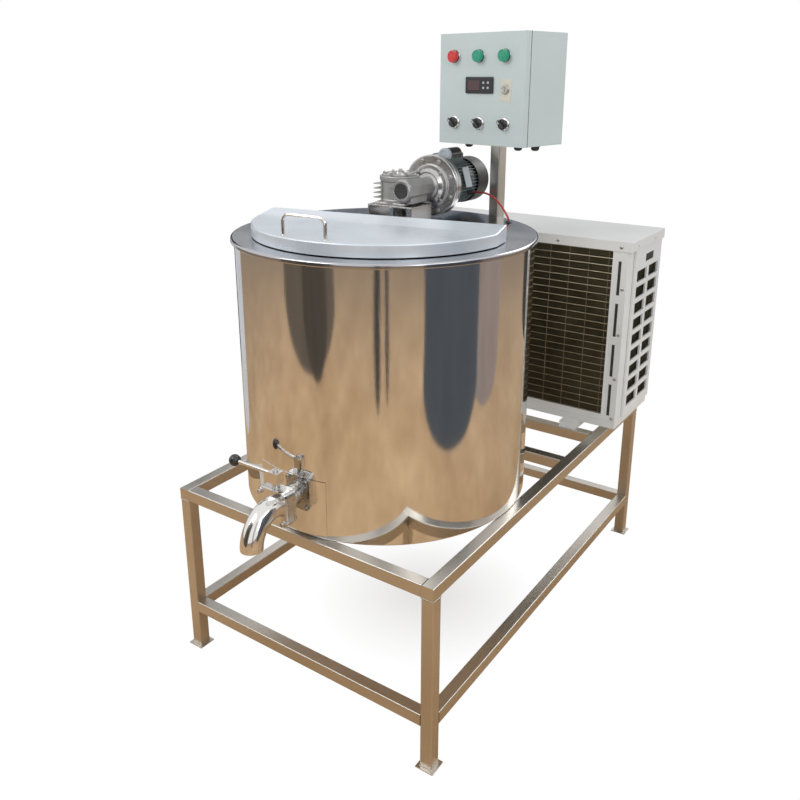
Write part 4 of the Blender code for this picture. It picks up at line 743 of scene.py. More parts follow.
bpy.ops.mesh.remove_doubles(threshold=0.00001)
bpy.ops.mesh.normals_make_consistent(inside=False)
bpy.ops.object.mode_set(mode="OBJECT")
tube_wall = elbow.modifiers.new("tube_wall", "SOLIDIFY")
tube_wall.thickness = PIPE_WALL
tube_wall.offset = -1
apply_all(elbow)


def flange_plate(name, front, back, half, corner, bore):
    """A square flange with round corners and a round bore, standing across the pipe."""
    plate = block(name, (OUTLET.x - half, front, OUTLET.z - half), (OUTLET.x + half, back, OUTLET.z + half))
    pick_edges(plate, lambda start, end: abs((end - start).y) > 0.001)
    bpy.ops.mesh.bevel(offset=corner, segments=8)
    bpy.ops.object.mode_set(mode="OBJECT")
    hole = drill(bore, (OUTLET.x, (front + back) / 2, OUTLET.z), 56)
    return soften(bored(plate, hole), 0.0009, 2)


plate_front = elbow_face - 0.008
flange = flange_plate("bend_flange", plate_front, elbow_face, FLANGE_HALF, 0.012, PIPE_RADIUS - PIPE_WALL / 2)
mount(joined("outlet_bend", [elbow, flange]), elbow_polish, "tank_on_stand", "outlet_elbow",
      slot="polished_steel")


def hex_bolt(name, across, head, shank=0.0, shank_radius=0.0):
    """A hexagon head on a washer, standing up +Z from its seat, with a shank below if it shows."""
    corner = across / 2 / math.cos(math.pi / 6)
    head_piece = turn_up(name, [(corner, 0.0012), (corner, head * 0.85), (corner * 0.86, head)], None, 6)
    washer = turn_up(name, [(corner * 1.12, 0), (corner * 1.12, 0.0012)], None, 28)
    parts = [head_piece, washer]
    if shank:
        parts.append(turn_up(name, [(shank_radius, -shank), (shank_radius, 0.001)], None, 20))
    return joined(name, parts)


def facing(direction, point):
    """Turn a piece's +Z to a direction and put its foot at a point."""
    turn = Vector(direction).to_track_quat("Z", "Y").to_matrix().to_4x4()
    return Matrix.Translation(point) @ turn


bolt_steel = mottled("bolt_steel", (0.56, 0.55, 0.53), 0.28, 1.0, (240, 4), (0.42, 0.41, 0.39),
                     (0.68, 0.67, 0.65), matt=(0.2, 0.22), depth=0.00012)
flange_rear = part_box("outlet_pipe")[0].y + 0.008
corners = [(OUTLET.x + sx * BOLT_PLACE, OUTLET.z + sz * BOLT_PLACE) for sx in (-1, 1) for sz in (-1, 1)]
heads = copies(hex_bolt("flange_bolt", 0.010, 0.0062),
               [facing((0, -1, 0), (x, plate_front, z)) for x, z in corners])
nuts = copies(hex_bolt("flange_nut", 0.010, 0.0075),
              [facing((0, 1, 0), (x, flange_rear, z)) for x, z in corners])
mount(joined("flange_bolts", heads + nuts), bolt_steel, "tank_on_stand", slot="satin_steel")

knob_low, knob_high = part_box("valve_knob")
knob_middle = (knob_low + knob_high) / 2
KNOB_RADIUS = (knob_high.y - knob_low.y) / 2
grip_black = mottled("grip_black", (0.012, 0.012, 0.013), 0.2, 0.0, (70, 4), (0.010, 0.010, 0.011),
                     (0.035, 0.034, 0.033), matt=(0.14, 0.2), coat_weight=0.4, coat_roughness=0.1)
ball = turn_up("lever_ball", arc(0, 0, KNOB_RADIUS, -88, 66, 18) + [(0.0048, KNOB_RADIUS * 0.92),
                                                                    (0.0048, KNOB_RADIUS * 0.6)],
               facing((1, 0, 0), knob_middle), 48)
mount(ball, grip_black, "valve", "valve_knob", slot="black_plastic")
stem_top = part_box("valve_disc")[1].z
stem_nut = hex_bolt("stem_nut", 0.009, 0.0045)
settle(stem_nut, Matrix.Translation((OUTLET.x, OUTLET.y, stem_top - 0.0040)))
mount(stem_nut, bolt_steel, "valve", slot="satin_steel")

# ---- Agitator and its bridge
# A polished shaft runs from the gearbox through the deck to a two-bladed paddle. A bent plate bridge
# carries the gearbox; a dark coupling with a clamp screw joins the shaft below it.
shaft_low, shaft_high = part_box("agitator_shaft")
shaft_place = Matrix.Translation((SHAFT.x, SHAFT.y, 0))
rod_steps = [(0.0085, shaft_low.z), (0.0100, shaft_low.z + 0.0015), (0.0100, DECK_TOP - 0.0510),
             (0.0125, DECK_TOP - 0.0490), (0.0125, shaft_high.z)]
mount(turn_up("agitator_rod", rod_steps, shaft_place, 48), vessel_steel, "agitator", "agitator_shaft",
      slot="satin_steel")
mount(skin_of("agitator_paddle", "paddle_blades_and_hub", 0.0007), vessel_steel, "agitator",
      "agitator_paddle",
      slot="satin_steel")
bridge_low, bridge_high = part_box("drive_bridge")
mount(skin_of("drive_bridge", "bridge_plate", 0.0012),
      mirror_steel("bridge_polish", (0.50, 0.49, 0.48), 0.16, 0.0006), "tank_on_stand", "drive_bridge",
      slot="satin_steel")
coupling = turn_up("shaft_coupling", [(0.0150, DECK_TOP + 0.008), (0.0168, DECK_TOP + 0.010),
                                      (0.0168, DECK_TOP + 0.0215), (0.0150, DECK_TOP + 0.0225),
                                      (0.0150, DECK_TOP + 0.0245), (0.0168, DECK_TOP + 0.0255),
                                      (0.0168, DECK_TOP + 0.0365), (0.0150,
                                                                    DECK_TOP + 0.0375)], shaft_place, 48)
oiled_steel = mottled("oiled_steel", (0.10, 0.10, 0.105), 0.38, 0.9, (120, 4), (0.05, 0.05, 0.052),
                      (0.20, 0.195, 0.19), matt=(0.28, 0.25))
screw = turn_up("clamp_screw", [(0.0034, 0), (0.0034, 0.0030), (0.0026, 0.0036)],
                facing((0.5, -0.86, 0), (SHAFT.x + 0.0078, SHAFT.y - 0.0136, DECK_TOP + 0.0155)), 6)
mount(joined("shaft_coupling", [coupling, screw]), oiled_steel, "agitator", slot="black_plastic")
bridge_bolts = []
for x in (bridge_low.x + 0.016, bridge_high.x - 0.016):
    for y in (bridge_low.y + 0.016, bridge_high.y - 0.016):
        bridge_bolts.append(facing((0, 0, -1), (x, y, bridge_high.z - 0.0041)))
mount(joined("bridge_bolts", copies(hex_bolt("bridge_bolt", 0.010, 0.0065), bridge_bolts)), bolt_steel,
      "tank_on_stand", slot="satin_steel")
for node in ("worm_wheel", "worm_shaft"):
    bronze = mottled(node + "_bronze", (0.60, 0.42, 0.20), 0.35, 1.0, (80, 3), (0.48, 0.32, 0.14),
                     (0.70, 0.52, 0.28), matt=(0.25, 0.2))
    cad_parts[node].data.materials.clear()
    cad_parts[node].data.materials.append(bronze)

# ---- Worm gearbox
# A die-cast aluminium case with cooling fins on its far side, a round cover held by bolts, a black plug in
# a machined boss on its front, and a wide bell flange to the motor.
case_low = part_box("gearbox_housing")[0]
cover_low, cover_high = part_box("gearbox_cover")
cast_alloy, paint, vary = surface("cast_alloy", (0.46, 0.455, 0.45), 0.42, 1.0)
sand = paint.noise(420, detail=4)
grime = paint.noise(26, detail=5)
vary(base_color=paint.blend(grime, (0.28, 0.275, 0.27), (0.58, 0.575, 0.57)), roughness=0.34 + grime * 0.22,
     height=sand, depth=0.00035, strength=0.6)
turned_alloy = mottled("turned_alloy", (0.55, 0.545, 0.54), 0.27, 1.0, (200, 3), (0.42, 0.415, 0.41),
                       (0.64, 0.635, 0.63), matt=(0.16, 0.16), depth=0.0001)
motor_low, motor_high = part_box("motor_fan_cowl")
MOTOR = Vector(((motor_low.x + motor_high.x) / 2, 0, (motor_low.z + motor_high.z) / 2))
FLANGE_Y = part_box("motor_frame")[0].y
WHEEL = (cover_low + cover_high) / 2
case_base = bridge_high.z + 0.0003
case_top = cover_low.z - 0.0003
drum = turn_up("wheel_drum", [(0.0455, case_base), (0.0470, case_base + 0.0015), (0.0470, case_base + 0.012),
                              (0.0455, case_base + 0.014), (0.0455, case_top - 0.015),
                              (0.0495, case_top - 0.012),
                              (0.0500, case_top - 0.010), (0.0500, case_top - 0.0015), (0.0490, case_top)],
               Matrix.Translation((WHEEL.x, WHEEL.y, 0)), 72)
barrel_place = facing((0, 1, 0), (MOTOR.x, case_low.y, MOTOR.z))
barrel = turn_up("worm_barrel", [(0.0265, 0), (0.0290, 0.0025), (0.0290, 0.0980), (0.0270, 0.1000)],
                 barrel_place @ Matrix.Rotation(math.pi / 8, 4, "Z"), 8)
neck = turn_up("worm_neck", [(0.0270, 0.060), (0.0270, 0.1000), (0.0280, 0.1080), (0.0345, 0.1150)],
               barrel_place, 56)
foot = block("case_foot", (WHEEL.x - 0.046, WHEEL.y - 0.046, case_base),
             (WHEEL.x + 0.046, WHEEL.y + 0.046, case_base + 0.0075), 0.0030)
web = block("case_web", (WHEEL.x - 0.010, WHEEL.y - 0.036, case_base + 0.004),
            (MOTOR.x + 0.021, WHEEL.y + 0.036, MOTOR.z + 0.018), 0.0060)
rib = block("case_rib", (WHEEL.x - 0.0018, WHEEL.y - 0.0495, case_base + 0.005),
            (WHEEL.x + 0.0018, WHEEL.y - 0.0440, case_top - 0.006), 0.0009, None, 2)
around_wheel = Matrix.Translation((WHEEL.x, WHEEL.y, 0))
ribs = copies(rib, [around_wheel @ Matrix.Rotation(math.radians(turn), 4, "Z") @ around_wheel.inverted()
                    for turn in (-40, -68, 180, 215)])
FIN_STEP = 0.0115
FIN_START = 0.0125
FIN_THICK = 0.0030
fins = []
for number in range(4):
    low = case_base + FIN_START + FIN_STEP * number
    fins.append(block("case_fin", (WHEEL.x - 0.0640, WHEEL.y - 0.026, low),
                      (WHEEL.x - 0.0400, WHEEL.y + 0.026, low + FIN_THICK), 0.0010, segments=2))
mount(joined("gearbox_case", [drum, barrel, neck, foot, web] + ribs + fins), cast_alloy, "tank_on_stand",
      "gearbox_housing", slot="cast_aluminium")

cover_place = Matrix.Translation(((cover_low.x + cover_high.x) / 2, (cover_low.y + cover_high.y) / 2,
                                  cover_low.z))
cap = turn_up("gearbox_lid", [(0.0440, 0.0), (0.0440, 0.0034), (0.0430, 0.0042), (0.0350, 0.0042),
                              (0.0345, 0.0068), (0.0335, 0.0070), (0.0270, 0.0070), (0.0262, 0.0055),
                              (0.0120, 0.0055), (0.0112, 0.0070), (0.0090, 0.0070)], cover_place, 72)
mount(cap, turned_alloy, "tank_on_stand", "gearbox_cover", slot="cast_aluminium")
ring_places = [cover_place @ Matrix.Rotation(math.radians(30 + 60 * k), 4, "Z")
               @ Matrix.Translation((0.0392, 0, 0.0042)) for k in range(6)]
cover_bolts = copies(hex_bolt("cover_bolt", 0.0060, 0.0052), ring_places)
vent = settle(hex_bolt("vent_plug", 0.0085, 0.0075),
              cover_place @ Matrix.Translation((-0.010, 0.018, 0.0054)))
mount(joined("gearbox_cover_bolts", cover_bolts + [vent]), bolt_steel, "tank_on_stand", slot="cast_aluminium")

boss_place = facing((0, -1, 0), (MOTOR.x, case_low.y + 0.0015, MOTOR.z))
boss = turn_up("worm_bearing_boss", [(0.0250, -0.002), (0.0250, 0.0035), (0.0240, 0.0045), (0.0195, 0.0045),
                                     (0.0190, 0.0030)], boss_place, 56)
mount(boss, turned_alloy, "tank_on_stand", slot="cast_aluminium")
plug = turn_up("worm_bearing_plug", [(0.0186, 0.0), (0.0186, 0.0038), (0.0175, 0.0046), (0.0140, 0.0040),
                                     (0.0030, 0.0040)], boss_place, 48)
mount(plug, black_rubber, "tank_on_stand", slot="black_plastic")

flange_place = facing((0, -1, 0), (MOTOR.x, FLANGE_Y, MOTOR.z))
bell = turn_up("motor_bell_flange", [(0.0762, -0.0096), (0.0775, -0.0084), (0.0775, 0.0052), (0.0768, 0.0060),
                                     (0.0768, 0.0072), (0.0775, 0.0080), (0.0775, 0.0152), (0.0762, 0.0172),
                                     (0.0730, 0.0180), (0.0560, 0.0180), (0.0545, 0.0192), (0.0540, 0.0225),
                                     (0.0520, 0.0240), (0.0440, 0.0245), (0.0400, 0.0275), (0.0360, 0.0340)],
               flange_place, 96)
mount(bell, turned_alloy, "tank_on_stand", slot="cast_aluminium")
bell_bolts = [flange_place @ Matrix.Rotation(math.radians(22.5 + 45 * k), 4, "Z")
              @ Matrix.Translation((0.0660, 0, 0.0178)) for k in range(8)]
inner_bolts = [flange_place @ Matrix.Rotation(math.radians(45 + 90 * k), 4, "Z")
               @ Matrix.Translation((0.0485, 0, 0.0240)) for k in range(4)]
mount(joined("bell_flange_bolts", copies(hex_bolt("bell_bolt", 0.0085, 0.0050), bell_bolts)
             + copies(hex_bolt("inner_bolt", 0.007, 0.0045), inner_bolts)), bolt_steel, "tank_on_stand",
      slot="cast_aluminium")

# ---- Motor
# A small flanged motor: a ribbed case in dark grey-green paint, a capacitor in a black clip on top, a bare
# rating plate, a terminal gland for the lead, and a black pressed fan cowl with an air grid.
motor_paint, paint, vary = surface("motor_paint", (0.085, 0.115, 0.12), 0.38, coat_weight=0.15)
chip = paint.noise(36, detail=5)
vary(base_color=paint.blend(chip, (0.055, 0.080, 0.086), (0.13, 0.165, 0.17)), roughness=0.3 + chip * 0.25,
     height=paint.noise(500), depth=0.00015)
body_start = FLANGE_Y + 0.010
body_end = motor_low.y + 0.0085
shell_place = facing((0, 1, 0), (MOTOR.x, body_start, MOTOR.z))
length = body_end - body_start
shell = turn_up("motor_shell", [(0.0690, -0.0098), (0.0690, -0.0015), (0.0670, 0.0), (0.0560, 0.0005),
                                (0.0530, 0.0040), (0.0530, length - 0.006), (0.0578, length - 0.004),
                                (0.0578, length), (0.0520, length), (0.0520, 0.004)], shell_place, 72)
rib = block("motor_rib", (0.0500, -0.0010, 0.0035), (0.0578, 0.0010, length - 0.0045), 0.0005, segments=1)
ribs = copies(rib, [shell_place @ Matrix.Rotation(math.radians(9 * k), 4, "Z") for k in range(40)
                    if k not in (9, 10, 11) or k > 30])
mount(joined("motor_case", [shell] + ribs), motor_paint, "tank_on_stand", "motor_frame", slot="motor_paint")

box_low = (MOTOR.x - 0.026, body_start + 0.020, MOTOR.z + 0.050)
box_high = (MOTOR.x + 0.026, body_start + 0.095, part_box("motor_frame")[1].z - 0.0005)
terminal = block("terminal_housing", box_low, box_high, 0.004)
mount(terminal, motor_paint, "tank_on_stand", slot="motor_paint")
capacitor_place = facing((0, -1, 0), (MOTOR.x + 0.012, body_start + 0.082, MOTOR.z + 0.0745))
can = turn_up("capacitor_can", [(0.0150, 0.0), (0.0165, 0.0015), (0.0165, 0.058)], capacitor_place, 40)
mount(can, grip_black, "tank_on_stand", slot="black_plastic")
pale_plastic = mottled("pale_plastic", (0.50, 0.54, 0.58), 0.4, 0.0, (60, 4), (0.42, 0.46, 0.50),
                       (0.60, 0.64, 0.68), matt=(0.32, 0.2))
end_cap = turn_up("capacitor_end", [(0.0172, 0.054), (0.0172, 0.0635), (0.0158, 0.0665), (0.0110, 0.0665),
                                    (0.0102, 0.0648), (0.0040, 0.0648)], capacitor_place, 40)
mount(end_cap, pale_plastic, "tank_on_stand", slot="motor_paint")

plate_side = facing((0.96, 0, 0.28), (MOTOR.x + 0.0566, body_start + 0.062, MOTOR.z + 0.0165))
rating = block("rating_plate", (-0.015, -0.026, 0.0), (0.015, 0.026, 0.0016), 0.0006, plate_side, 2)
mount(rating, pale_plastic, "tank_on_stand", slot="motor_paint")
gland_start = lead_line[0]
gland = turn_up("lead_gland", [(0.0085, -0.012), (0.0085, -0.0045), (0.0070, -0.0035), (0.0070, -0.0010),
                               (0.0052, 0.0045), (0.0030, 0.0060)], facing((1, 0, 0), gland_start), 28)
mount(gland, black_rubber, "tank_on_stand", slot="black_plastic")

black_enamel, paint, vary = surface("black_enamel", (0.022, 0.021, 0.020), 0.42)
soot = paint.noise(50, detail=5)
vary(base_color=paint.blend(soot, (0.014, 0.013, 0.012), (0.055, 0.050, 0.045)), roughness=0.36 + soot * 0.2,
     height=paint.noise(600), depth=0.0001)
cowl_length = motor_high.y - motor_low.y
COWL_RADIUS = (motor_high.x - motor_low.x) / 2
cowl_place = facing((0, 1, 0), (MOTOR.x, motor_low.y, MOTOR.z))
cowl = turn_up("cowl", [(COWL_RADIUS - 0.0014, 0.0), (COWL_RADIUS - 0.0004, 0.0), (COWL_RADIUS, 0.0006)]
               + arc(COWL_RADIUS - 0.008, cowl_length - 0.008, 0.008, 0, 90, 6)
               + [(0.0440, cowl_length), (0.0440, cowl_length - 0.0015),
                  (COWL_RADIUS - 0.009, cowl_length - 0.0015),
                  (COWL_RADIUS - 0.0015, cowl_length - 0.008), (COWL_RADIUS - 0.0014, 0.0)], cowl_place, 72)
bars = []
for number in range(1, 5):
    radius = 0.0095 * number
    bpy.ops.object.select_all(action="DESELECT")
    bpy.ops.mesh.primitive_torus_add(major_radius=radius, minor_radius=0.0011, major_segments=40,
                                     minor_segments=8)
    bars.append(settle(bpy.context.object, cowl_place @ Matrix.Translation((0, 0, cowl_length - 0.0012))))
for number in range(6):
    spoke = block("spoke", (0.0, -0.0012, cowl_length - 0.0022), (0.0450, 0.0012, cowl_length - 0.0003),
                  0.0004,
                  segments=1)
    bars.append(settle(spoke, cowl_place @ Matrix.Rotation(math.radians(60 * number), 4, "Z")))
mount(joined("motor_cowl", [cowl] + bars), black_enamel, "tank_on_stand", "motor_fan_cowl",
      slot="black_enamel")
mount(skin_of("motor_rotor", "motor_rotor_and_fan", 0.0004), grip_black, "drive_motor", "motor_rotor",
      slot="motor_paint")

# ---- Post and control box
# The box is folded steel with a grey-green powder coat, hung on a square post. Its door folds round a black
# gasket and is hinged at its left edge.
BOX_TURN = math.radians(-10)
BOX_WIDTH = 0.267
BOX_DEPTH = 0.165
DOOR_RETURN = 0.018
post_low, post_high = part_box("post")
box_low, box_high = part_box("control_box")
door_low, door_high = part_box("control_box_door")
POST = (post_low + post_high) / 2
BOX_HEIGHT = box_high.z - box_low.z
DOOR_FRONT = -BOX_DEPTH / 2
box_spot = Vector(((min(box_low.x, door_low.x) + max(box_high.x, door_high.x)) / 2,
                   (min(box_low.y, door_low.y) + max(box_high.y, door_high.y)) / 2, box_low.z))
box_place = Matrix.Translation(box_spot) @ Matrix.Rotation(BOX_TURN, 4, "Z")
post_place = Matrix.Translation((POST.x, POST.y, box_low.z)) @ Matrix.Rotation(BOX_TURN, 4, "Z")
post = tube_bar("post_tube", (-TUBE / 2, -TUBE / 2, post_low.z - box_low.z), (TUBE / 2, TUBE / 2, -0.0003),
                post_place)
mount(post, steel_along["Z"], "tank_on_stand", "post", slot="brushed_steel")

box_enamel, paint, vary = surface("box_enamel", (0.56, 0.62, 0.60), 0.42, coat_weight=0.1)
peel = paint.noise(900, detail=2)
shade = paint.noise(8, detail=4)
vary(base_color=paint.blend(shade, (0.52, 0.585, 0.565), (0.60, 0.66, 0.64)), roughness=0.36 + shade * 0.14,
     height=peel, depth=0.00012, strength=0.5)
mount(skin_of("control_box", "box_body", 0.0007), box_enamel, "tank_on_stand", "control_box",
      slot="box_paint")
mount(skin_of("control_box_door", "box_door", 0.0007), box_enamel, "box_door", "control_box_door",
      slot="box_paint")
seal_y = DOOR_FRONT + DOOR_RETURN
SEAL = 0.0024
seal_out = BOX_WIDTH / 2 + 0.0002
seal_parts = [block("seal", (-seal_out, seal_y - SEAL / 3, low),
                    (seal_out, seal_y + SEAL * 2 / 3, low + 0.006),
                    0.0006, box_place, 2) for low in (-0.0002, BOX_HEIGHT - 0.0058)]
seal_parts += [block("seal", (left, seal_y - SEAL / 3, 0.003), (left + 0.006, seal_y + SEAL * 2 / 3,
                                                                BOX_HEIGHT - 0.003), 0.0006, box_place, 2)
               for left in (-seal_out, seal_out - 0.006)]
mount(joined("door_seal", seal_parts), black_rubber, "tank_on_stand", slot="black_plastic")

# ---- Buttons and selectors
# Panel pilots in two rows: raised caps in bright bezels above, black two-position selectors below. The
# heads turn or press on their own; the bezels stay on the door.
chrome, paint, vary = surface("pilot_chrome", (0.74, 0.74, 0.75), 0.14, 1.0)
fog = paint.noise(90)
vary(roughness=0.08 + fog * 0.14)
button_red = mottled("button_red", (0.62, 0.02, 0.018), 0.28, 0.0, (140, 4), (0.52, 0.014, 0.012),
                     (0.72, 0.035, 0.03), matt=(0.22, 0.16), coat_weight=0.5, coat_roughness=0.15)
button_green = mottled("button_green", (0.005, 0.30, 0.16), 0.28, 0.0, (140, 4), (0.004, 0.25, 0.13),
                       (0.012, 0.38, 0.22), matt=(0.22, 0.16), coat_weight=0.5, coat_roughness=0.15)
white_mark = mottled("white_mark", (0.80, 0.80, 0.78), 0.5, 0.0, (200, 3), (0.72, 0.72, 0.70),
                     (0.84, 0.84, 0.82))


def on_door(x, z):
    """Stand a piece out of the door's face at a place across and up from the box's foot."""
    return box_place @ facing((0, -1, 0), (x, DOOR_FRONT, z))


def centre_of(node):
    """A door piece's place across and up, in the box's own frame."""
    low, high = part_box(node)
    middle = box_place.inverted() @ ((low + high) / 2)
    return middle.x, middle.z


for node, material, slot in (("stop_button", button_red, "red_plastic"),
                             ("start_button_mixer", button_green, "green_plastic"),
                             ("start_button_cooling", button_green, "green_plastic")):
    x, z = centre_of(node)
    cap = turn_up(node + "_cap", [(0.0105, -0.022), (0.0105, 0.0046), (0.0140, 0.0047), (0.0145, 0.0056),
                                  (0.0145, 0.0124), (0.0138, 0.0146), (0.0122, 0.0150), (0.0112, 0.0138),
                                  (0.0100, 0.0136), (0.0060, 0.0141), (0.0020, 0.0142)], on_door(x, z), 48)
    mount(cap, material, node, node, slot=slot)
    bezel = turn_up(node + "_bezel", [(0.0164, 0.0003), (0.0165, 0.0018), (0.0162, 0.0032), (0.0157, 0.0040),
                                      (0.0151, 0.0038), (0.0149, 0.0030), (0.0149, 0.0003)],
                    on_door(x, z), 48)
    mount(bezel, chrome, "box_door", slot="satin_steel")

SELECTOR_ROW = 0.053
SELECTOR_TURN = math.radians(45)
for node in ("selector_left", "selector_middle", "selector_right"):
    x, z = round(centre_of(node)[0], 3), SELECTOR_ROW
    barrel = turn_up(node + "_knob", [(0.0105, -0.022), (0.0105, 0.0054), (0.0125, 0.0056), (0.0128, 0.0066),
                                      (0.0128, 0.0096), (0.0118, 0.0110), (0.0050, 0.0114)],
                     on_door(x, z), 48)
    wing = block(node + "_wing", (-0.0034, -0.0100, 0.004), (0.0034, 0.0122, 0.0200), 0.0016, None, 3)
    settle(wing, on_door(x, z) @ Matrix.Rotation(SELECTOR_TURN, 4, "Z"))
    mount(joined(node + "_knob", [barrel, wing]), grip_black, node, node, slot="black_plastic")
    mark = block(node + "_pointer", (-0.0009, 0.0020, 0.0196), (0.0009, 0.0106, 0.0203), 0.0002, None, 1)
    settle(mark, on_door(x, z) @ Matrix.Rotation(SELECTOR_TURN, 4, "Z"))
    mount(mark, white_mark, node, slot="black_plastic")
    bezel = turn_up(node + "_bezel", [(0.0163, 0.0003), (0.0164, 0.0022), (0.0150, 0.0044), (0.0134, 0.0052),
                                      (0.0110, 0.0050), (0.0110, 0.0003)], on_door(x, z), 48)
    mount(bezel, chrome, "box_door", slot="satin_steel")

# ---- Temperature controller and lock
# A wide panel controller with a dark red display behind a clear window and four pale keys, and a
# cam lock beside it that turns with a key. A bare cream label is stuck on the door round the lock.
CONTROLLER = centre_of("temperature_controller")
controller_place = on_door(CONTROLLER[0], CONTROLLER[1])
bezel = block("controller_bezel", (-0.0430, -0.0195, 0.0003), (0.0430, 0.0195, 0.0050), 0.0024,
              controller_place)
case = block("controller_case", (-0.0390, -0.0165, -0.0550), (0.0390, 0.0165, 0.0010), 0.0008,
             controller_place, 2)
matte_black = mottled("matte_black", (0.02, 0.02, 0.022), 0.5, 0.0, (700, 3), (0.016, 0.016, 0.018),
                      (0.034, 0.034, 0.036), depth=0.0001)
mount(joined("controller_housing", [bezel, case]), matte_black, "box_door", "temperature_controller",
      slot="black_plastic")
window_red = mottled("window_red", (0.045, 0.008, 0.009), 0.12, 0.0, (40, 3), (0.03, 0.006, 0.008),
                     (0.075, 0.010, 0.010), coat_weight=0.6, coat_roughness=0.05)
window = block("display_window", (-0.0340, -0.0115, 0.0044), (0.0040, 0.0115, 0.0056), 0.0005,
               controller_place, 2)
mount(window, window_red, "box_door", slot="red_plastic")
keys = [block("key", (-0.0030, -0.0026, 0.0044), (0.0030, 0.0026, 0.0060), 0.0008,
              controller_place @ Matrix.Translation((kx, ky, 0)), 2)
        for kx in (0.0150, 0.0290) for ky in (-0.0060, 0.0060)]
key_grey = mottled("key_grey", (0.46, 0.48, 0.50), 0.45, 0.0, (300, 3), (0.38, 0.40, 0.42),
                   (0.55, 0.57, 0.59))
mount(joined("controller_keys", keys), key_grey, "box_door", slot="black_plastic")

LOCK = centre_of("door_lock")
cream = mottled("cream_label", (0.66, 0.62, 0.50), 0.5, 0.0, (300, 3), (0.58, 0.54, 0.42),
                (0.74, 0.71, 0.59))
label = block("bare_label", (-0.0170, -0.0280, 0.0), (0.0170, 0.0230, 0.0005), 0.0001,
              on_door(LOCK[0] + 0.001, LOCK[1]) @ Matrix.Rotation(math.radians(-4), 4, "Z"), 1)
mount(label, cream, "box_door", slot="box_paint")
lock = turn_up("lock_barrel", [(0.0090, -0.0140), (0.0090, 0.0003), (0.0118, 0.0008), (0.0118, 0.0022),
                               (0.0108, 0.0038), (0.0086, 0.0040), (0.0080, 0.0032), (0.0040, 0.0032)],
               on_door(LOCK[0], LOCK[1]), 40)
slot_cut = block("keyway", (-0.0012, -0.0048, 0.0015), (0.0012, 0.0048, 0.0060), 0, on_door(LOCK[0], LOCK[1]))
mount(bored(lock, slot_cut), bolt_steel, "door_lock", "door_lock", slot="satin_steel")

# ---- Cable glands under the box
# Black plastic glands with domed nuts, for the cores that run down inside the post.
glands = []
for x, y in ((-0.116, 0.018), (0.052, 0.010), (0.086, 0.036)):
    at = box_place @ facing((0, 0, -1), (x, y, 0.0004))
    nut = turn_up("gland_nut", [(0.0125, 0), (0.0125, 0.0060), (0.0112, 0.0068)], at, 6)
    dome = turn_up("gland_dome", [(0.0104, 0.0060), (0.0106, 0.0110), (0.0090, 0.0150), (0.0052, 0.0170),
                                  (0.0046, 0.0166)], at, 28)
    glands += [nut, dome]
mount(joined("box_glands", glands), black_rubber, "tank_on_stand", slot="black_plastic")

# ---- Condensing unit
# An off-white enamelled sheet cabinet: tray, front with the coil window, corner post with four slots,
# moulded grille at the side, and a pressed top cover held with screws.
cab_low, cab_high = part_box("condenser_cabinet")
white_enamel, paint, vary = surface("white_enamel", (0.78, 0.775, 0.745), 0.38, coat_weight=0.15)
film = paint.noise(7, detail=5)
fine = paint.noise(700, detail=2)
vary(base_color=paint.blend(film, (0.72, 0.71, 0.67), (0.82, 0.815, 0.79)), roughness=0.32 + film * 0.16,
     height=fine, depth=0.0001)
for node, name, edge in (("condenser_base", "cabinet_tray", 0.0007),
                         ("condenser_cabinet", "cabinet_walls", 0.0006),
                         ("condenser_top_cover", "cabinet_cover", 0.0010),
                         ("condenser_side_grille", "side_grille", 0.0012)):
    mount(skin_of(node, name, edge), white_enamel, "tank_on_stand", node, slot="cabinet_paint")

coil_low, coil_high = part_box("condenser_coil")
WINDOW_LEFT = cab_low.x + 0.258
WINDOW_RIGHT = cab_high.x - 0.040
WINDOW_LOW = cab_low.z + 0.016
WINDOW_HIGH = cab_high.z - 0.016
fin_metal = mottled("fin_metal", (0.16, 0.145, 0.09), 0.38, 0.8, (14, 5), (0.07, 0.06, 0.035),
                    (0.22, 0.20, 0.13), matt=(0.3, 0.25))
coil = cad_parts["condenser_coil"]
coil.data.materials.clear()
coil.data.materials.append(fin_metal)
FIN_PITCH = 0.0030
fin_parts = []
count = int((WINDOW_RIGHT - WINDOW_LEFT) / FIN_PITCH)
fin = block("coil_fin", (0, 0, WINDOW_LOW - 0.004), (0.0004, 0.0032, WINDOW_HIGH + 0.004))
fin_parts += copies(fin, [Matrix.Translation((WINDOW_LEFT + FIN_PITCH * k, coil_low.y - 0.0030, 0))
                          for k in range(count)])
side_count = int((coil_high.y - coil_low.y - 0.02) / FIN_PITCH)
fin = block("coil_fin", (0, 0, WINDOW_LOW - 0.004), (0.0032, 0.0004, WINDOW_HIGH + 0.004))
fin_parts += copies(fin, [Matrix.Translation((coil_high.x - 0.0002, coil_low.y + 0.02 + FIN_PITCH * k, 0))
                          for k in range(side_count)])
mount(joined("coil_fins", fin_parts), fin_metal, "tank_on_stand", slot="coil_fins")

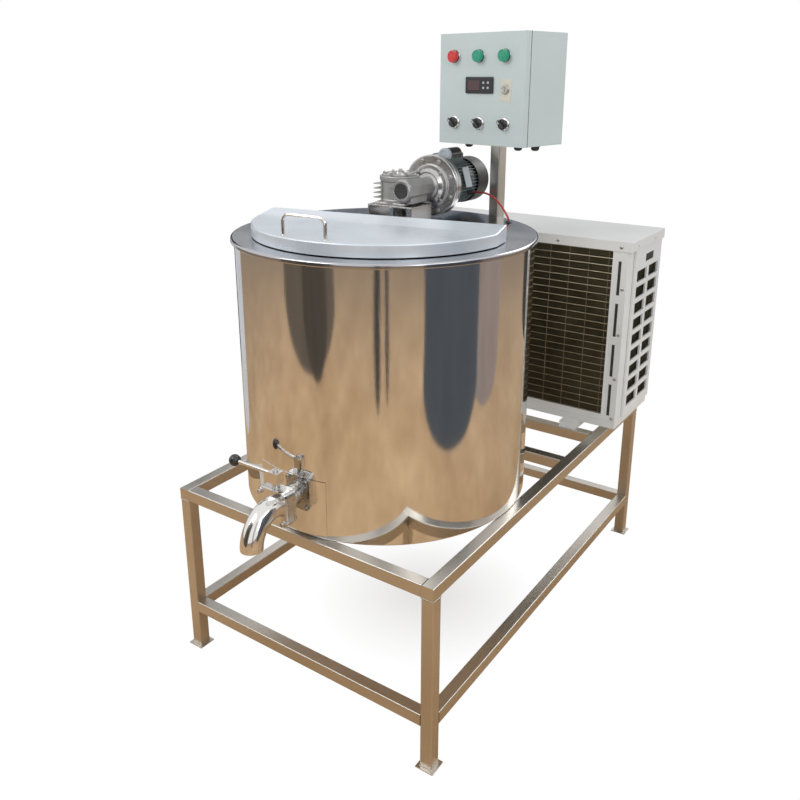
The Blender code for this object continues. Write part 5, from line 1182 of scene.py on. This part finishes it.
ROW_PITCH = 0.0205
tube_rows = []
rows = int((WINDOW_HIGH - WINDOW_LOW) / ROW_PITCH)
for row in range(rows + 1):
    z = WINDOW_LOW + 0.004 + ROW_PITCH * row
    tube_rows.append(round_line("coil_row", [Vector((WINDOW_LEFT - 0.002, cab_low.y + 0.0016, z)),
                                             Vector((WINDOW_RIGHT + 0.002, cab_low.y + 0.0016, z))],
                                0.0016, weld_metal, 2))
for column in range(9):
    x = WINDOW_LEFT + 0.012 + (WINDOW_RIGHT - WINDOW_LEFT - 0.024) * column / 8
    tube_rows.append(round_line("coil_row", [Vector((x, cab_low.y - 0.0002, WINDOW_LOW - 0.002)),
                                             Vector((x, cab_low.y - 0.0002, WINDOW_HIGH + 0.002))],
                                0.0009, weld_metal, 2))
coil_guard = lines_to_mesh("coil_guard_wires", tube_rows)
guard_dark = mottled("guard_wire_dark", (0.30, 0.27, 0.19), 0.34, 0.85, (60, 3), (0.16, 0.14, 0.09),
                     (0.48, 0.44, 0.33))
mount(coil_guard, guard_dark, "tank_on_stand", slot="coil_fins")

# The four slots in the corner post are not cut through. Each is a thin dark plate laid on the front, painted
# shade for the slot's inside.
slot_dark = mottled("slot_shadow", (0.03, 0.03, 0.028), 0.7, 0.0, (40, 3), (0.015, 0.015, 0.014),
                    (0.05, 0.05, 0.046))
slots = []
for number in range(4):
    top = cab_high.z - 0.052 - number * 0.118
    slots.append(block("corner_slot", (cab_high.x - 0.0255, cab_low.y - 0.0006, top - 0.094),
                       (cab_high.x - 0.0175, cab_low.y + 0.0004, top), 0.0004, segments=2))
mount(joined("corner_slot_shadows", slots), slot_dark, "tank_on_stand", slot="coil_fins")
side_rim = []
for z in (WINDOW_LOW, WINDOW_HIGH):
    side_rim.append(block("window_rim", (WINDOW_LEFT, cab_low.y - 0.0018, z - 0.0022),
                          (WINDOW_RIGHT, cab_low.y + 0.0004, z + 0.0022), 0.0009, segments=2))
for x in (WINDOW_LEFT, WINDOW_RIGHT):
    side_rim.append(block("window_rim", (x - 0.0022, cab_low.y - 0.0018, WINDOW_LOW - 0.0022),
                          (x + 0.0022, cab_low.y + 0.0004, WINDOW_HIGH + 0.0022), 0.0009, segments=2))
mount(joined("coil_window_rim", side_rim), white_enamel, "tank_on_stand", slot="cabinet_paint")

screw_head = turn_up("cover_screw", [(0.0048, 0), (0.0046, 0.0012), (0.0034, 0.0022), (0.0014, 0.0026)],
                     None, 20)
cov_low, cov_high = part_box("condenser_top_cover")
SCREW_RISE = cov_low.z + 0.012
across = [cov_low.x + 0.03 + (cov_high.x - cov_low.x - 0.06) * number / 4 for number in range(5)]
screw_places = [facing((0, -1, 0), (x, cov_low.y, SCREW_RISE)) for x in across]
screw_places += [facing((0, 1, 0), (x, cov_high.y, SCREW_RISE)) for x in across]
screw_places += [facing((1, 0, 0), (cov_high.x - 0.0022, cov_low.y + y, SCREW_RISE)) for y in (0.05, 0.19)]
screw_places += [facing((0, -1, 0), (cab_high.x - 0.010, cab_low.y, cab_low.z + z))
                 for z in (0.010, 0.130, 0.260, 0.390)]
mount(joined("cabinet_screws", copies(screw_head, screw_places)), bolt_steel, "tank_on_stand",
      slot="cabinet_paint")

grille_low, grille_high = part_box("condenser_side_grille")
grip = block("side_grip_rim", (grille_high.x - 0.002, grille_low.y + 0.070, grille_high.z - 0.050),
             (grille_high.x + 0.0004, grille_low.y + 0.150, grille_high.z - 0.018), 0.0012, segments=3)
mount(grip, white_enamel, "tank_on_stand", slot="cabinet_paint")
# The grip's hollow is not recessed. It is a dark plate inside the rim, painted shade for the recess.
hollow = block("side_grip_hollow_shadow", (grille_high.x - 0.001, grille_low.y + 0.078, grille_high.z - 0.045),
               (grille_high.x + 0.0006, grille_low.y + 0.142, grille_high.z - 0.023), 0.0012, segments=3)
mount(hollow, slot_dark, "tank_on_stand", slot="coil_fins")

# ---- Fan, its motor and guard
# A three-bladed plastic fan on a small motor held by a strut, behind a coated wire guard of close rings.
fan_low, fan_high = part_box("condenser_fan_guard")
FAN = (fan_low + fan_high) / 2
mount(skin_of("condenser_fan", "fan_blades_and_hub", 0), matte_black, "condenser_fan", "condenser_fan",
      slot="black_plastic")
mount(skin_of("condenser_fan_motor", "fan_motor_and_strut", 0.0010), motor_paint, "tank_on_stand",
      "condenser_fan_motor", slot="motor_paint")
wires = []
RING_STEP = 0.0146
for ring in range(2, 15):
    bpy.ops.object.select_all(action="DESELECT")
    bpy.ops.mesh.primitive_torus_add(major_radius=RING_STEP * ring, minor_radius=0.0013, major_segments=72,
                                     minor_segments=8)
    wires.append(settle(bpy.context.object, facing((0, 1, 0), (FAN.x, fan_low.y + 0.0013, FAN.z))))
for number in range(4):
    spoke = block("guard_spoke", (-RING_STEP * 14, -0.0013, 0.0006), (RING_STEP * 14, 0.0013, 0.0030), 0.0006,
                  segments=1)
    wires.append(settle(spoke, facing((0, 1, 0), (FAN.x, fan_low.y, FAN.z))
                        @ Matrix.Rotation(math.radians(22.5 + 45 * number), 4, "Z")))
hub_disc = turn_up("guard_disc", [(0.030, 0.0003), (0.030, 0.0026), (0.027, 0.0030)],
                   facing((0, 1, 0), (FAN.x, fan_low.y, FAN.z)), 48)
mount(joined("fan_guard_wires", wires + [hub_disc]), white_enamel, "tank_on_stand", "condenser_fan_guard",
      slot="cabinet_paint")

# ---- Compressor and lines
# A black enamelled hermetic shell in the left bay, and one foam-lagged pair of lines to the tank wall.
compressor_low, compressor_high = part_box("compressor")
compressor_at = Matrix.Translation(((compressor_low.x + compressor_high.x) / 2,
                                    (compressor_low.y + compressor_high.y) / 2, compressor_low.z))
reach = (compressor_high.x - compressor_low.x) / 2
tall = compressor_high.z - compressor_low.z
shell = turn_up("compressor_shell", [(reach, 0), (reach, 0.0055), (reach - 0.014, 0.0080),
                                     (reach - 0.018, 0.0120),
                                     (reach - 0.018, tall * 0.46), (reach - 0.0165, tall * 0.47),
                                     (reach - 0.0165, tall * 0.49), (reach - 0.018, tall * 0.50)]
                + arc(reach - 0.048, tall - 0.038, 0.030, 0, 60, 6) + [(0.020, tall)], compressor_at, 64)
mount(shell, black_enamel, "tank_on_stand", "compressor", slot="black_enamel")
lagging, paint, vary = surface("line_lagging", (0.035, 0.035, 0.036), 0.8)
pores = paint.noise(500)
crease = paint.noise(30, detail=4)
vary(base_color=paint.blend(crease, (0.022, 0.022, 0.023), (0.07, 0.07, 0.07)), height=pores + crease,
     depth=0.0006)
mount(skin_of("refrigerant_lineset", "lagged_lines", 0), lagging, "tank_on_stand", "refrigerant_lineset",
      slot="lagging")

# ---- Floor, reflectors and light
# A plain pale floor under soft light. Large cards that only the metal sees give it something to mirror.
bpy.ops.object.select_all(action="DESELECT")
bpy.ops.mesh.primitive_circle_add(vertices=96, radius=14, fill_type="NGON", location=(0, 0, -0.0002))
floor = bpy.context.object
floor.name = "floor"
floor_paint, paint, vary = surface("floor_paint", (0.86, 0.855, 0.845), 0.7)
speck = paint.noise(30, detail=5)
vary(base_color=paint.blend(speck, (0.85, 0.845, 0.835), (0.87, 0.865, 0.855)))
tree = paint.tree
path = tree.nodes.new("ShaderNodeLightPath")
seen = paint.maths("MAXIMUM", Link(tree, path.outputs["Is Camera Ray"]),
                   Link(tree, path.outputs["Is Glossy Ray"]))
seen = paint.maths("MAXIMUM", seen, Link(tree, path.outputs["Is Transmission Ray"]))
outward = paint.maths("SQRT", paint.along(0) * paint.along(0) + paint.along(1) * paint.along(1))
white = paint.add("ShaderNodeEmission", None, {"Color": (1, 1, 1, 1), "Strength": 1.0})
lit = Link(tree, tree.nodes["Principled BSDF"].outputs[0])
floor_mix = paint.add("ShaderNodeMixShader", None,
                      {0: seen * outward.ramp((0.05, 0.62), (0.32, 1.0)), 1: lit, 2: white})
tree.links.new(floor_mix.output, tree.nodes["Material Output"].inputs["Surface"])
floor.data.materials.append(floor_paint)


def card(name, centre, width, height, colour, upright=True):
    """A plain card that shows only in reflections."""
    bpy.ops.object.select_all(action="DESELECT")
    if upright:
        bpy.ops.mesh.primitive_circle_add(vertices=48, radius=0.5, fill_type="NGON")
    else:
        bpy.ops.mesh.primitive_plane_add(size=1)
    sheet = bpy.context.object
    sheet.name = name
    for vertex in sheet.data.vertices if upright else ():
        vertex.co.y = 0.5 if vertex.co.y > -0.001 else vertex.co.y * 0.30 - 0.35
    sheet.scale = (width, height, 1)
    sheet.location = centre
    if upright:
        heading = math.atan2(centre[1] - TANK.y, centre[0] - TANK.x)
        sheet.rotation_euler = (math.pi / 2, 0, heading + math.pi / 2)
    material, paint, vary = surface(name + "_paint", colour, 0.9)
    patch = paint.noise(3.0, detail=5)
    vary(base_color=paint.blend(patch, [value * 0.6 for value in colour], [value * 1.3 for value in colour]))
    sheet.data.materials.append(material)
    sheet.visible_camera = False
    sheet.visible_diffuse = False
    sheet.visible_shadow = False
    return material, paint, vary


material, paint, vary = card("ground_card", (0, -1, 0.001), 24, 24, (0.62, 0.47, 0.32), upright=False)
far = paint.maths("SQRT", paint.along(0) * paint.along(0) + paint.along(1) * paint.along(1))
blotch = paint.noise(30, detail=7, roughness=0.68)
patches = paint.blend(blotch.ramp((0.33, 0.0), (0.67, 1.0)), (0.47, 0.285, 0.135), (0.74, 0.50, 0.28))
vary(base_color=paint.blend(far.ramp((0.05, 0.0), (0.22, 1.0)), patches, (0.44, 0.32, 0.215)))


def card_at(name, bearing, distance, width, height, colour, low=0.0):
    """Stand a card at a bearing and distance from the tank."""
    angle = math.radians(bearing)
    card(name, (TANK.x + distance * math.cos(angle), TANK.y + distance * math.sin(angle), low + height / 2),
         width, height, colour)


card_at("dark_card_right", -9, 1.72, 1.30, 1.75, (0.095, 0.11, 0.13))
card_at("dark_card_shade", 20, 2.1, 1.0, 1.5, (0.42, 0.34, 0.30))
card_at("dark_card_left", -109, 2.6, 1.9, 2.6, (0.17, 0.135, 0.10))
card_at("dark_card_left_core", -104, 2.5, 0.8, 2.6, (0.09, 0.075, 0.058))
card_at("dark_card_middle", -59, 2.15, 0.13, 2.4, (0.07, 0.065, 0.06))
card_at("dark_card_middle_2", -53, 2.25, 0.09, 2.4, (0.12, 0.10, 0.085))
card_at("dark_card_side", -200, 2.2, 1.0, 2.0, (0.05, 0.05, 0.05))
card_at("white_card_side", -190, 1.5, 0.5, 1.2, (0.85, 0.88, 0.92))
card_at("dark_card_back", 78, 2.8, 1.0, 1.9, (0.06, 0.055, 0.05))
card_at("tree_card", 122, 5.5, 9.0, 1.65, (0.10, 0.125, 0.16), 0.6)

world = bpy.data.worlds.new("studio")
bpy.context.scene.world = world
world.use_nodes = True
tree = world.node_tree
background = tree.nodes["Background"]
sky = Link(tree)
path = tree.nodes.new("ShaderNodeLightPath")
seen = Link(tree, path.outputs["Is Camera Ray"])
mirrored = Link(tree, path.outputs["Is Glossy Ray"])
through = Link(tree, path.outputs["Is Transmission Ray"])
shown = sky.maths("MAXIMUM", seen, sky.maths("MAXIMUM", mirrored, through))
tint = sky.blend(shown, (0.92, 0.95, 1.0), (1.0, 1.0, 1.0))
tree.links.new(tint.output, background.inputs["Color"])
tree.links.new((0.62 + shown * 0.38).output, background.inputs["Strength"])


def lamp(name, place, aim, size, power, colour=(1, 1, 1)):
    """A square soft light aimed at a point."""
    data = bpy.data.lights.new(name, "AREA")
    data.size = size
    data.energy = power
    data.color = colour
    light = bpy.data.objects.new(name, data)
    light.location = place
    light.rotation_euler = (Vector(aim) - Vector(place)).to_track_quat("-Z", "Y").to_euler()
    bpy.context.collection.objects.link(light)
    return light


lamp("key_light", (-1.6, -3.0, 3.4), (0, 0, 0.7), 2.2, 60)
lamp("fill_light", (3.4, -1.2, 2.6), (0, 0, 0.7), 2.5, 34)
lamp("back_light", (0.8, 3.4, 3.0), (0, 0, 0.8), 2.0, 40)

bpy.context.scene.view_settings.view_transform = "Standard"
